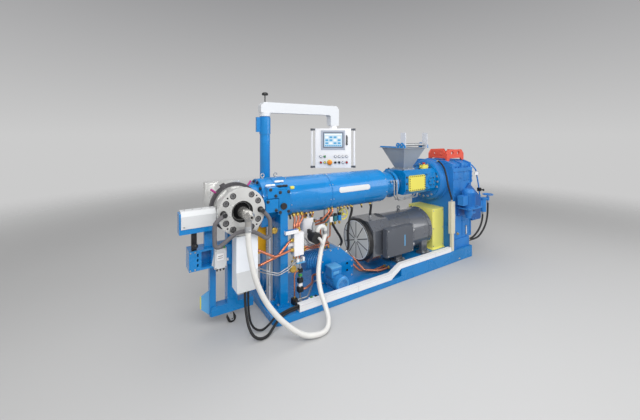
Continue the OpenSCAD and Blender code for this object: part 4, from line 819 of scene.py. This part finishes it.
for k in (0, 1):  # steel pair from the neck to the feed box
    x, z, end = neckX + 90 + 46 * k, axisZ - 160 - 18 * k, feedX + 230 + 60 * k
    line = bentLine([onJacket(x, neckR + 0.3, 110), onJacket(x, 212, 110), (x, -204, axisZ - 110), (x + 60, -170, z),
                     (feedX + 150, -140, z), (end, -120, z), (end, -120, axisZ - 130)], 13)
    sweep(bm, line, 8, 16, 2)
    nuts(bm, line, 13.5, 20, 2)
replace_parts(piece("pipeRuns", bm, [copperTube, brassNut, zincPlate], smooth=35), "pipework")

# insulated loop between the two ports of the crosshead
foam = {"r": 16, "y": discY - 40, "pitch": 152}
left, right = headX - foam["pitch"], headX + foam["pitch"]
loop = [(left, 0), (left - 42, -26), (left - 64, -46), (left - 75, -76), (left - 75, -200), (left - 69, -224),
        (left - 50, -235), (left - 26, -226), (left + 70, -162), (left + 102, -150), (headX - 15, -147),
        (headX + 30, -150), (headX + 105, -178), (right + 18, -224), (right + 42, -233), (right + 60, -222),
        (right + 68, -196), (right + 68, -102), (right + 60, -72), (right + 36, -38),
        (right, 0)]  # (x, height over the axis)
bm = bmesh.new()
sweep(bm, catmull([(x, foam["y"], axisZ + z) for x, z in loop], 5, (-0.85, 0, -0.52), (-0.69, 0, 0.72)),
      foam["r"], 24, 0)
port = [(0, 0), (0, 15), (3, 19), (30, 19), (32, 16.5), (50, 16.5), (52, 19), (88, 19), (88, 0)]
for x in (left, right):
    lathe(bm, port, (x, foam["y"] - 18.8, axisZ), back, 28, 1)
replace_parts(piece("foamLoop", bm, [foamGrey, darkSteel], smooth=35), "temper_pipe")
print("pipes bent")

# control panel, drawn square to the machine and turned
panelTurn = Matrix.Translation((-346, 300, 0)) @ Matrix.Rotation(math.radians(-30), 4, "Z")
unturn = panelTurn.inverted()
panelLook = {"front": -55, "top": 1737, "screenW": 220, "screenH": 162, "frame": 14}
front, top = panelLook["front"], panelLook["top"]
sw, sh = panelLook["screenW"] / 2, panelLook["screenH"] / 2  # half sizes of the screen
screenZ = top - 60 - sh


def glow(name, color, strength):
    m = bpy.data.materials.new(name)
    m.use_nodes = True
    g = m.node_tree
    p = g.nodes["Principled BSDF"]
    n = put(g, "ShaderNodeTexNoise", {"Scale": 60.0})
    t = put(g, "ShaderNodeTexCoord")
    r = put(g, "ShaderNodeMapRange", {"To Min": 0.10, "To Max": 0.2})
    wire(g, t, "Object", n, "Vector"); wire(g, n, "Fac", r, "Value"); wire(g, r, "Result", p, "Roughness")
    fill(p, {"Base Color": (0.02, 0.02, 0.022, 1), "Emission Color": color, "Emission Strength": strength})
    return m


def tile(bm, x0, x1, z0, z1, mat, proud=4.0, sunk=3.5):  # thin plate on the panel, heights from the screen's middle
    slab(bm, (x0, front - proud, screenZ + z0), (x1, front - sunk, screenZ + z1), 0, mat, panelTurn)


screenBack = glow("screenBack", tint(206, 232, 248), 0.95)
screenBox = glow("screenBox", tint(84, 172, 224), 0.95)
screenMark = glow("screenMark", tint(246, 250, 252), 1.0)
bm = bmesh.new()
tile(bm, -sw, sw, -sh, sh, 0, 3.6, 3.05)
tile(bm, -104, 104, 58, 74, 2)
for col in range(4):
    for row in range(3):
        tile(bm, -96 + 50 * col, -60 + 50 * col, 22 - 36 * row, 44 - 36 * row, 1 if (col + row) % 3 else 2)
for col in range(8):
    tile(bm, -104 + 26 * col, -82 + 26 * col, -76, -62, 1)
fw, fh = sw + panelLook["frame"], sh + panelLook["frame"]  # and of its frame
for x0, x1, z0, z1 in ((-fw, fw, sh, fh), (-fw, fw, -fh, -sh), (-fw, -sw, -sh, sh), (sw, fw, -sh, sh)):
    tile(bm, x0, x1, z0, z1, 3, 6.6, 5.9)
piece("screenFace", bm, [screenBack, screenBox, screenMark, bezelGrey], "panel", 0)

buttonLooks = [whitePaint, greenPlastic, redPlastic, blackPlastic, orangePlastic, lemonPaint, bezelGrey]
buttonRows = {top - 340: (0, 1, 0, 0, 0, 0), top - 412: (2, 5, 3, 3, 0, 2)}  # look of each cap, row by row
out = panelTurn.to_3x3() @ Vector(near)
bm = bmesh.new()
for z, picks in buttonRows.items():
    for x, pick in zip((-150, -104, 26, 72, 118, 164), picks):
        at = panelTurn @ Vector((x, front - 12, z))
        lathe(bm, [(0, 0), (0, 15.2), (2.2, 15.2), (3, 13.5), (2.6, 11.8), (2.6, 0)], at, out, 28, 6)
        lathe(bm, [(2.6, 0), (2.6, 11.2), (5, 11.2), (6.6, 9.6), (7, 0)], at, out, 28, pick)
at = panelTurn @ Vector((-44, front, top - 412))  # stop button on its yellow plate
lathe(bm, [(0, 0), (0, 34), (1.6, 34), (2.2, 33), (2.2, 0)], at, out, 40, 5)
lathe(bm, [(33.6, 0), (33.6, 28.5), (36, 28), (40, 24), (42, 15), (42.5, 0)], at, out, 36, 4)
slab(bm, (158, front - 15, screenZ - 44), (174, front - 1, screenZ + 46), 5, 3, panelTurn)
slab(bm, (155, front - 10, screenZ - 58), (177, front, screenZ - 44), 3, 3, panelTurn)
piece("buttonCaps", bm, buttonLooks, "panel")


def repaintPanel(look, *boxes):  # boxes in the panel's own unturned frame
    repaintIf("hmi_panel", look, lambda c, n: inside(unturn @ c, boxes))


def behindKeys(c, n):
    p = unturn @ c
    return p.y > -61.3 and p.z > 1470 and p.x < 150


repaintPanel(whitePaint, ((244, -60, 1200), (275, -20, 1740)), ((-275, -60, 1200), (-244, -20, 1740)))
repaintPanel(boxPaint, ((220.2, -60, 1200), (280, -20, 1285)), ((220.2, -60, 1710), (280, -20, 1745)),
             ((-280, -60, 1200), (-220.2, -20, 1285)), ((-280, -60, 1710), (-220.2, -20, 1745)))
repaintIf("hmi_controls", panelGrey, behindKeys)
print("panel dressed")

# barrel: bare plate, plugs on the flange
plate = {"x0": -575, "x1": -205, "z": 1075, "half": 30, "lift": 1.6, "inset": 0.86, "step": 0.5}
midTurn = math.asin((plate["z"] - axisZ) / jacketR)


def roundJacket(x, s, r):  # s mm up round the jacket from the plate's middle line
    a = midTurn + s / jacketR
    return (x, -r * math.cos(a), axisZ + r * math.sin(a))


bm = bmesh.new()
x0, x1 = plate["x0"], plate["x1"]
for r, w in ((jacketR + plate["lift"], plate["half"]),
             (jacketR + plate["lift"] + plate["step"], plate["half"] * plate["inset"])):
    xs = [x0 - w * math.cos(math.pi * k / 28) for k in range(15)] + [x0 + (x1 - x0) * k / 12 for k in range(1, 12)]
    xs += [x1 + w * math.sin(math.pi * k / 28) for k in range(15)]
    rows = []
    for x in xs:
        over = max(x0 - x, x - x1, 0)
        h = max(math.sqrt(max(0.0, w ** 2 - over ** 2)), 0.6)
        rows.append([bm.verts.new(roundJacket(x, h * t, r)) for t in (-1, -0.6, -0.2, 0.2, 0.6, 1)]
                    + [bm.verts.new(roundJacket(x, h * t, jacketR - 0.5)) for t in (1, -1)])
    skin(bm, rows, 0)
    for row in (rows[0], rows[-1]):
        bm.faces.new(row)
piece("barePlate", bm, [coverGrey], smooth=30)

plug = [(0, 0), (0, 9), (12, 11), (50, 11), (52, 8.5), (70, 8.5), (72, 10.5), (90, 10.5), (90, 0)]
bm = bmesh.new()
for at, mat in (((-1418, -160, 1189), 0), ((-1312, -160, 1174), 1), ((-1312, -120, 1212.5), 0)):
    lathe(bm, plug, at, toGear, 20, mat)
slab(bm, (-1220, -168, 1163), (-1196, -146, 1182), 2, 1)
slab(bm, (-1168, -176, 1139), (-1128, -150, 1164), 2, 2)
piece("flangePlugs", bm, [whitePaint, blackPlastic, lemonPaint])
print("barrel dressed")


# valves, rails and small tubes between the barrel and the deck
def wheel(bm, at, axis, r, thick, mat, spokes=3):  # hand wheel with hub and spokes
    axis = Vector(axis).normalized()
    u = axis.orthogonal().normalized()
    v = axis.cross(u)
    at = Vector(at)
    rim = [at + r * w for w in circle(u, v, 36)]
    sweep(bm, rim + rim[:1], thick, 10, mat, False)
    for w in circle(u, v, spokes):
        sweep(bm, [at, at + r * w], thick * 0.7, 8, mat)
    lathe(bm, [(-12, 0), (-12, 14), (12, 14), (12, 0)], at, axis, 20, mat)


bm = bmesh.new()
for k in (0, 1):  # slanted pair from the jacket to the header tank
    x, y, z = -700 + 46 * k, -48 + 26 * k, 745 - 44 * k
    tube(bm, [onJacket(x, jacketR + 0.5, 38), onJacket(x, 236, 38), (x - 75, -118, 775 - 30 * k),
              (-800, y, z), (-842, y, z)], 20, 10, 0, 1)
tube(bm, [(-1075, -210, 165), (-1020, -210, 165), (-900, -130, 150), (-830, -20, 170), (-761, -20, 170)],
     26, 11, 0, 1)
tube(bm, [(-331, 0, 250), (-285, 0, 250), (-200, -110, 110), (-40, -190, 96), (124, -190, 96)], 26, 13, 0, 1)
tube(bm, [(-331, 60, 180), (-280, 60, 180), (-210, -40, 84), (-60, -120, 76), (124, -120, 90)], 26, 11, 0, 1)
piece("copperTails", bm, [copperTube, brassNut], smooth=35)

# valve rail under the jacket, with a hand wheel
rail = {"x0": -720, "x1": -480, "y": -40, "z": 725, "step": 58}
y, z = rail["y"], rail["z"]
bm = bmesh.new()
slab(bm, (rail["x0"], y - 18, z), (rail["x1"], y + 18, z + 30), 2, 0)
for k, mat in enumerate((1, 2, 1, 3)):
    x = rail["x0"] + 10 + rail["step"] * k
    slab(bm, (x, y - 44, z - 8), (x + 40, y - 18, z + 52), 3, mat)
    lathe(bm, [(0, 0), (0, 12), (30, 12), (34, 8), (34, 0)], (x + 20, y - 30, z - 8), downward, 18, 4)
    slab(bm, (x + 4, y - 46, z + 52), (x + 36, y - 16, z + 78), 3, 5)
for x in (rail["x0"] + 30, rail["x1"] - 30):  # hangers up to the jacket
    rod(bm, (x, y + 6, z + 30), upward, 9, 96, 14)
rod(bm, (-428, 30, 745), upward, 16, 105, 20)
slab(bm, (-458, 4, 735), (-398, 56, 790), 4, 0)
rod(bm, (-428, 4, 765), near, 10, 30, 16)
wheel(bm, (-428, -22, 765), near, 58, 7, 6)
lathe(bm, [(0, 0), (0, 17), (20, 17), (22, 21), (60, 21), (62, 14), (90, 14), (94, 9), (94, 0)],
      (-924, -196, 694), upward, 24, 0)
piece("valveRail", bm, [zincPlate, tealPlastic, whitePaint, bluePaint, brassNut, blackPlastic, lemonPaint])

# stand with signal blocks, and a brass valve
bm = bmesh.new()
lathe(bm, [(0, 0), (0, 22), (6, 22), (6, 9), (370, 9), (370, 0)], (-1085, -210, lowH), upward, 18, 0)
slab(bm, (-1135, -238, 430), (-1040, -182, 444), 2, 1)
standBlocks = [((-1130, -236, 444), (-1104, -190, 476), 2), ((-1098, -236, 444), (-1074, -196, 470), 0),
               ((-1066, -232, 444), (-1044, -192, 482), 2), ((-1110, -232, 240), (-1060, -190, 282), 3),
               ((-1104, -228, 204), (-1066, -192, 234), 2), ((-1112, -234, 150), (-1058, -186, 196), 3),
               ((-1100, -230, 300), (-1070, -192, 322), 4), ((-1104, -230, 336), (-1064, -190, 372), 3)]
for lo, hi, mat in standBlocks:
    slab(bm, lo, hi, 3, mat)
slab(bm, (-1222, -216, 380), (-1180, -194, 408), 2, 0)
lathe(bm, [(0, 0), (0, 30), (12, 34), (46, 34), (52, 28), (52, 16), (47, 14), (47, 0)],
      (-1172, -192, 394), near, 28, 5)
rod(bm, (-1172, -218, 428), upward, 11, 40, 16, 5)
piece("signalStand", bm, [zincPlate, paleBlue, whitePaint, blackPlastic, greenPlastic, brassNut])
print("lower fittings placed")

# die rings in the bore, hose sleeve at the nose
bm = bmesh.new()
outerDie = [(0, 86.6), (30, 86.6), (34, 83), (34, 77), (24, 75), (0, 74.5), (0, 86.6)]
innerDie = [(0, 73.6), (18, 73.6), (21, 71.6), (21, 70.2), (0, 70.2), (0, 73.6)]
sleeve = [(0, 22.2), (0, 26.2), (4, 27.2), (40, 27.2), (44, 26.2), (44, 22.2), (0, 22.2)]
lathe(bm, outerDie, (headX, discY + 46, axisZ), near, 64, 0)
lathe(bm, innerDie, (headX, discY + 46, axisZ), near, 64, 1)
lathe(bm, sleeve, (headX, -530, 960), downward, 36, 2)
slab(bm, (headX - 10, -562, 924), (headX + 10, -554, 936), 2, 2)
piece("dieRings", bm, [darkSteel, turnedSteel, zincPlate])

# small sheet parts: bright edge on the stand's flap, lid, hinges and bare strip of the terminal box, duct lid joints
bm = bmesh.new()
slab(bm, (-1975, -92, 190), (-1967, -78, 292), 1, 0)
slab(bm, (224, -335.2, 372), (240, -333.9, 500), 0.5, 1)
slab(bm, (-46, -334, 286), (377, -329.9, 594), 3, 3)
for z in (330, 530):
    slab(bm, (-54, -336, z), (-40, -322, z + 40), 3, 3)
for x, z, tall in ((-900, lowH, 64), (-500, lowH, 64), (420, highH, 52), (720, highH, 52)):
    slab(bm, (x, -halfW - 0.5, z + 2), (x + 2, -halfW + 0.2, z + tall), 0, 2)
for x0, x1, z in ((-1178, -36, lowH + 52), (126, 1041, highH + 42)):
    slab(bm, (x0, -halfW - 0.5, z), (x1, -halfW + 0.2, z + 1.2), 0, 2)
piece("sheetMarks", bm, [lemonPaint, paleBlue, panelGrey, boxPaint], smooth=30)
print("head and sheet details placed")

# bands round the barrel: dark coupling by the feed box, partly painted shade of the gap there, neck rims and jacket
# straps, as (x0, x1, inner, outer, look)
bandRows = [(262, 321, neckR - 0.4, neckR + 1.6, 0), (254, 262, neckR - 0.4, neckR + 6, 1)]
bandRows += [(x, x + 12, collarR - 0.4, collarR + 7, 2) for x in (338, 372)]
bandRows += [(x, x + 12, jacketR - 0.4, jacketR + 0.9, 1) for x in (-1178, -706, -686, 90)]
bm = bmesh.new()
for x0, x1, r0, r1, mat in bandRows:
    corners = ((x0, r0), (x0, r1), (x1, r1), (x1, r0))
    rows = []
    for a in [2 * math.pi * j / 72 for j in range(73)]:
        rows.append([bm.verts.new((x, -r * math.cos(a), axisZ + r * math.sin(a))) for x, r in corners])
    skin(bm, rows, mat)
piece("neckBands", bm, [paintedShadeSteel, bluePaint, zincPlate])

# pump motor: ring grille on the fan cowl with painted shade in its gaps and a painted highlight on the outer ring,
# lid of its box in pale blue as a painted highlight, thin dark lines and a tag
cowl = {"x": pumpX - 20, "y": -326, "z": 145}
bm = bmesh.new()
# the outermost ring, in pale blue, is a painted highlight
for r in (18, 28, 38, 48, 58):
    lathe(bm, [(0, r - 2.6), (2.2, r - 2.2), (2.2, r + 2.2), (0, r + 2.6), (0, r - 2.6)],
          (cowl["x"], cowl["y"] + 0.4, cowl["z"]), near, 40, 2 if r > 50 else 0)
    gap = r - 5  # painted shade in the gaps between the rings
    lathe(bm, [(0, gap - 2.2), (0.6, gap - 2.2), (0.6, gap + 2.2), (0, gap + 2.2), (0, gap - 2.2)],
          (cowl["x"], cowl["y"] + 0.3, cowl["z"]), near, 40, 1)
lathe(bm, [(0, 0), (0, 11), (4, 10), (5, 0)], (cowl["x"], cowl["y"] + 0.4, cowl["z"]), near, 24, 0)
# pale lid on top of the box: painted highlight
slab(bm, (cowl["x"] - 83, -237.5, 284), (cowl["x"] + 43, -118.5, 298), 3, 2)
for z in (212, 262):
    slab(bm, (cowl["x"] - 76, -238, z), (cowl["x"] + 36, -235.5, z + 3), 0, 1)
slab(bm, (cowl["x"] - 60, -239.5, 222), (cowl["x"] + 10, -235.5, 256), 1.5, 2)
piece("pumpMotorTrim", bm, [pumpPaint, paintedShadeBlue, paleBlue])

# fixings of the pump hood, deck, base, motor hood and head console
hoodSpots = [(-742, 84), (-742, 200), (-742, 310), (-742, 392), (-540, 412), (-640, 412), (-560, 84), (-450, 84),
             (-352, 84), (-352, 180), (-352, 245)]
bolts("hoodBolts", [((x, -80, z), near) for x, z in hoodSpots], 7, 6, 9.5)
bolts("flangeNuts", ring(cowl["x"], -110, cowl["z"], 78, range(45, 360, 90), "y", near), 6.2, 7, 7.8)
screws("deckScrews", onTop(range(-1380, 100, 184), (-300, 352), lowH)
       + onTop(range(160, 1120, 192), (-306, 352), highH), 9, 5)
sideXs = range(-1350, 1500, 285)
bolts("baseBolts", [((x, -halfW, 30), near) for x in sideXs if not -1180 < x < 1043]
      + [((x, halfW, 30), back) for x in sideXs], 9, 8, 12)
screws("hoodScrews", onTop((-145, -15, 115), (-120, 120), 655)
       + bothSides([(x, z) for x in (-148, 118) for z in (330, 530)], 225), 8, 5)
screws("consoleScrews", onFront((-2080, -2045), (602, 738), -260) + onFront((-1898, -1818), (594, 733), -300), 6, 4)

# connector box on the stand, brass valve by the guard
bm = bmesh.new()
for k, mat in enumerate((0, 1, 0, 2)):
    slab(bm, (-1896 + 20 * k, -296, 742), (-1882 + 20 * k, -270, 764), 2, mat)
for k in range(3):
    lathe(bm, [(0, 0), (0, 9), (12, 9), (13, 6), (22, 6), (22, 0)], (-1884 + 26 * k, -284, 585), downward, 18, 0)
slab(bm, (-1888, -302, 652), (-1836, -299.6, 706), 1, 3)
for z in (668, 684):
    slab(bm, (-1880, -303, z), (-1844, -301.6, z + 4), 0, 0)
piece("boxConnectors", bm, [blackPlastic, paleBlue, greenPlastic, whitePaint])
bm = bmesh.new()
lathe(bm, [(0, 0), (0, 12), (30, 12), (30, 26), (36, 30), (56, 30), (62, 24), (62, 12), (58, 10), (58, 0)],
      (-1346, -146, 775), near, 30, 0)
rod(bm, (-1298, -162, 775), toHead, 14, 52, 20, 1)
piece("guardValve", bm, [brassNut, zincPlate])

# gearbox: cover plates, cast ribs, sight glass, drain and level gauge
castPlates = [((1176, -312.5, 1220), (1328, -309, 1266), 1.5), ((1362, -312.5, 1220), (1520, -309, 1266), 1.5),
              ((1180, -333, 1060), (1330, -329.5, 1165), 2), ((1390, -333, 1030), (1520, -329.5, 1165), 2)]
castPlates += [((x, -338, 300), (x + 12, -329.5, 560), 2) for x in (1162, 1346, 1532)]
bm = bmesh.new()
for lo, hi, bevel in castPlates:
    slab(bm, lo, hi, bevel, 0)
lathe(bm, [(0, 0), (0, 24), (6, 24), (6, 19), (9, 17), (9, 0)], (1592, -306, 1150), near, 32, 1)
lathe(bm, [(6.1, 0), (6.1, 16.5), (10.2, 16.5), (10.2, 0)], (1592, -306, 1150), near, 32, 2)
rod(bm, (1236, -330, 340), near, 20, 10, 24, 1)
rod(bm, (1236, -340, 340), near, 13, 14, 6, 3)
slab(bm, (1424, -340, 296), (1448, -329.5, 420), 3, 1)
slab(bm, (1430, -341.4, 312), (1442, -339.5, 404), 1, 2)
piece("gearTrim", bm, [gearPaint, zincPlate, whitePaint, brassNut])
screws("plateScrews", onFront((1190, 1255, 1320), (1070, 1155), -333)
       + onFront((1400, 1455, 1510), (1040, 1155), -333)
       + onFront((1184, 1252, 1320, 1370, 1441, 1512), (1228, 1258), -312.5), 6, 5, gearPaint)
oilSpots = [(1246, 600), (1246, 700), (1480, 975), (1560, 900), (1650, 830), (1745, 760), (1745, 560), (1640, 490),
            (1570, 490)]
bolts("oilPlateBolts", [((x, -350, z), near) for x, z in oilSpots] + onTop((1232, 1440, 1500), (-500, -370), 705),
      8.5, 8, 10.5, gearPaint)

# weld beads down the hopper's corners and at the yoke's feet
beads = {"middle": 568, "lowHalf": 68, "topHalf": 163, "footZ": 1223, "topZ": 1494}
bm = bmesh.new()
for sx in (-1, 1):
    for sy in (-1, 1):
        a = Vector((beads["middle"] + sx * beads["lowHalf"], sy * beads["lowHalf"], beads["footZ"]))
        b = Vector((beads["middle"] + sx * beads["topHalf"], sy * beads["topHalf"], beads["topZ"]))
        line = [a.lerp(b, k / 40) + Vector((sx, sy, 0)) * 0.3 * math.sin(k * 2.1) for k in range(41)]
        sweep(bm, line, lambda t: 2.4 + 0.5 * math.sin(t * 120), 8, 0)
for y, z in ((-219, 1301), (61, 1311)):
    for x in (1180, 1514):
        line = [Vector((x + 46 * k / 16, y, z)) for k in range(17)]
        sweep(bm, line, lambda t: 3 + 0.6 * math.sin(t * 60), 8, 1)
piece("weldBeads", bm, [hopperSheet, coralPaint])
print("fixings and trim placed")

# fan slots as dark bars of painted shade, a dark rim ring of painted shade and a pale ring of painted highlight, fins
# of the oil motor, lifting eyes on the flanges
slotTurns = [2 * math.pi * k / 10 for k in range(10)]
slotSpots = [((motorFront - 0.2, -124 * math.sin(a), motorZ + 124 * math.cos(a)), (a, 0, 0)) for a in slotTurns]
grow("fanSlots", bars, slotSpots, {"Size": (0.0012, 0.0105, 0.190)}, darkSteel)
finTurns = [math.radians(d) for d in range(0, 360, 12) if not 64 < d < 116 and not 146 < d < 214]
grow("oilMotorFins", bars, [((1330 + 78 * math.cos(a), -435 + 78 * math.sin(a), 812), (0, 0, a)) for a in finTurns],
     {"Size": (0.010, 0.003, 0.170)}, gearPaint)
bm = bmesh.new()
fanMiddle = (motorFront + 0.3, 0, motorZ)
# dark ring of painted shade round the fan face, then a pale ring of painted highlight inside it
lathe(bm, [(0, 221.5), (1.6, 221.5), (1.6, 234.5), (0, 234.5), (0, 221.5)], fanMiddle, toHead, 80, 0)
highlightRim = [(0, 213.5), (2.2, 214.8), (2.2, 220.5), (1.4, 221.5), (0, 221.5), (0, 213.5)]
lathe(bm, highlightRim, fanMiddle, toHead, 80, 3)
lathe(bm, [(0, 0), (0, 26), (3, 24), (4, 0)], fanMiddle, toHead, 40, 1)
for x, z in ((-1385, 1238), (-1250, 1241)):
    rod(bm, (x, 0, z), upward, 14, 12, 20, 2)
    eyeRing = [Vector((x, 0, z + 27)) + 17 * w for w in circle(Vector(toGear), Vector(upward), 28)]
    sweep(bm, eyeRing + eyeRing[:1], 5.5, 10, 2, False)
piece("fanRim", bm, [darkSteel, fanPaint, zincPlate, sheetWhite])

# ferrules on the hose ends: length, and whether the start has one too
ferrules = {"temperHoseFront": (30, True), "temperHoseBack": (30, True), "fanHose": (26, True),
            "oilHoseFront": (34, True), "oilHoseRear": (34, True), "vacuumHose": (30, False),
            "feedCable": (24, True)}
bm = bmesh.new()
for name, (long, atStart) in ferrules.items():
    c = cords[name]
    inner, collar, body = c["r"] * 0.97, c["r"] + 3.5, c["r"] + 1.8
    profile = [(0, inner), (0, collar), (long * 0.6, collar), (long * 0.66, body), (long, body), (long, inner),
               (0, inner)]
    ends = [(c["route"][0], Vector(c["first"]))] if atStart else []
    for at, along in ends + [(c["route"][-1], -Vector(c["last"]))]:
        lathe(bm, profile, at, along, 28, 0)
piece("hoseFerrules", bm, [zincPlate])

# couplings under the jacket, short tubes to the header tank
under = ([(x, 22) for x in range(-1126, -890, 47)] + [(x, 30) for x in range(-560, -380, 44)]
         + [(x, 16) for x in (-330, -190, -60)])
radial = lambda a: (0, -math.sin(math.radians(a)), -math.cos(math.radians(a)))  # out from the barrel's axis
bolts("underNuts", [(onJacket(x, jacketR, a), radial(a)) for x, a in under], 11.5, 13, 14, brassNut)
screws("underPlugs", [(onJacket(x, jacketR + 14, a), radial(a)) for x, a in under[:6] + under[9:]],
       9, 26, blackPlastic, 0.6)
bm = bmesh.new()
for k, x in enumerate((-962, -936, -860)):
    y, a = -46 - 8 * k, 12 + 3 * k
    tube(bm, [onJacket(x + 10, jacketR + 0.5, a), onJacket(x + 10, 214, a), (x, y, 816), (x, y, 800)], 7, 8, 0, 1)
for k, x in enumerate((-1150, -1122, -1090)):  # drops below the valve block
    tube(bm, [(x, -205, 515), (x, -205, 478 - 12 * k)], 5, 7, 0, 1)
piece("shortTubes", bm, [copperTube, brassNut], smooth=35)

# oil line with gauge behind the gearbox corner
bm = bmesh.new()
tube(bm, [(1560, -300, 1240), (1618, -300, 1240), (1658, -340, 1170), (1725, -344, 930), (1755, -342, 790)],
     22, 9, 0, 0)
gauge = {"at": (1668, -344, 1122), "facing": (-0.75, -0.66, 0)}
gaugeCase = [(0, 0), (0, 8), (20, 8), (20, 29), (36, 29), (36, 25.5), (33, 25.5), (33, 0)]
lathe(bm, gaugeCase, gauge["at"], gauge["facing"], 32, 1)
lathe(bm, [(33.1, 0), (33.1, 25), (33.6, 25), (33.6, 0)], gauge["at"], gauge["facing"], 32, 2)
slab(bm, (1716, -368, 860), (1758, -322, 910), 5, 3)
lathe(bm, [(0, 0), (0, 7), (30, 7), (30, 16), (42, 16), (42, 0)], (1738, -368, 885), near, 20, 3)
piece("oilLine", bm, [gearPaint, zincPlate, whitePaint, blackPlastic], smooth=35)
print("ferrules, couplings and oil line placed")

# thin steel lines past the post, more lines from the valve block to the pump hood
bm = bmesh.new()
for k in (0, 1):
    drop = 34 * k
    tube(bm, [(-1665, -85, 466 - drop), (-1590, -85, 466 - drop), (-1500, -200 + 10 * k, 470 - drop),
              (-1440, -268, 448 - drop * 0.6), (-1340, -276 + 8 * k, 408 - 20 * k), (-1240, -268, 440 - 26 * k),
              (-1165, -228 - 8 * k, 460 - 14 * k), (-1130, -208 - 20 * k, 462 - 8 * k)], 24, 5.5, 0, 0)
    y, z, x = -228 + 36 * k, 610 + 40 * k, -722 + 34 * k
    tube(bm, [(-1062, y, z), (-1020, y, z), (-945, -140 - 10 * k, 545 + 20 * k), (-810, -40 - 22 * k, 486 + 12 * k),
              (x, -20 + 46 * k, 474), (x, -20 + 46 * k, 428)], 24, 6, 0, 0)
    y, z, x = -224 + 30 * k, 574 - 8 * k, -640 + 50 * k
    tube(bm, [(-1062, y, z), (-1015, y, z), (-930, -150 + 30 * k, 512), (-790, -50 + 40 * k, 466),
              (x, -40 + 70 * k, 466), (x, -40 + 70 * k, 428)], 24, 9, 1, 2)
tube(bm, [(-1155, -228, 116), (-1155, -228, 338), (-1132, -212, 354), (-1104, -212, 354)], 14, 7, 1, 2)
tube(bm, [(-1130, -228, 88), (-1010, -228, 88), (-900, -110, 92), (-820, -20, 100), (-761, -20, 100)], 26, 8, 0, 0)
slab(bm, (-1182, -252, lowH), (-1130, -204, 116), 4, 3)
lathe(bm, [(0, 0), (0, 19), (8, 22), (36, 22), (40, 18), (40, 0)], (-1156, -252, 88), near, 28, 3)
piece("crossTubes", bm, [zincPlate, copperTube, brassNut, blackPlastic], smooth=35)

# manifold that hangs behind the valve rail
backRail = {"x0": -840, "x1": -490, "y": 70, "z": 690, "step": 64}
y, z = backRail["y"], backRail["z"]
bm = bmesh.new()
slab(bm, (backRail["x0"], y - 20, z), (backRail["x1"], y + 20, z + 40), 3, 0)
for x in (backRail["x0"] + 30, backRail["x1"] - 30):  # hangers up to the jacket
    rod(bm, (x, y, z + 40), upward, 9, 134, 14)
for k, mat in enumerate((1, 2, 1, 3, 1)):
    x, foot = backRail["x0"] + 18 + backRail["step"] * k, -720 + 35 * k
    slab(bm, (x, y - 58, z + 2), (x + 42, y - 20, z + 60), 4, mat)
    rod(bm, (x + 21, y - 58, z + 32), near, 11, 22, 18)
    if k % 2 == 0:
        tube(bm, [(x + 21, y, z), (x + 21, y, 600 - 24 * k), (foot, y + 10, 540 - 10 * k), (foot, y + 10, 428)],
             22, 8, 4, 5)
piece("backManifold", bm, [zincPlate, blackPlastic, whitePaint, paleBlue, copperTube, brassNut], smooth=35)

# row of small blocks on the deck
deckRow = {"x": -1030, "y": -314, "step": 24}
x0, y = deckRow["x"], deckRow["y"]
bm = bmesh.new()
slab(bm, (x0 - 6, y + 8, lowH), (x0 + 4 * deckRow["step"], y + 40, lowH + 8), 1, 0)
for k, mat in enumerate((1, 2, 1, 3)):
    x = x0 + deckRow["step"] * k
    slab(bm, (x, y, lowH + 7), (x + 19, y + 46, 100 + 8 * (k % 2)), 3, mat)
piece("deckBlocks", bm, [zincPlate, whitePaint, greenPlastic, blackPlastic])
print("steel lines and back manifold placed")

lo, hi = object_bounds()
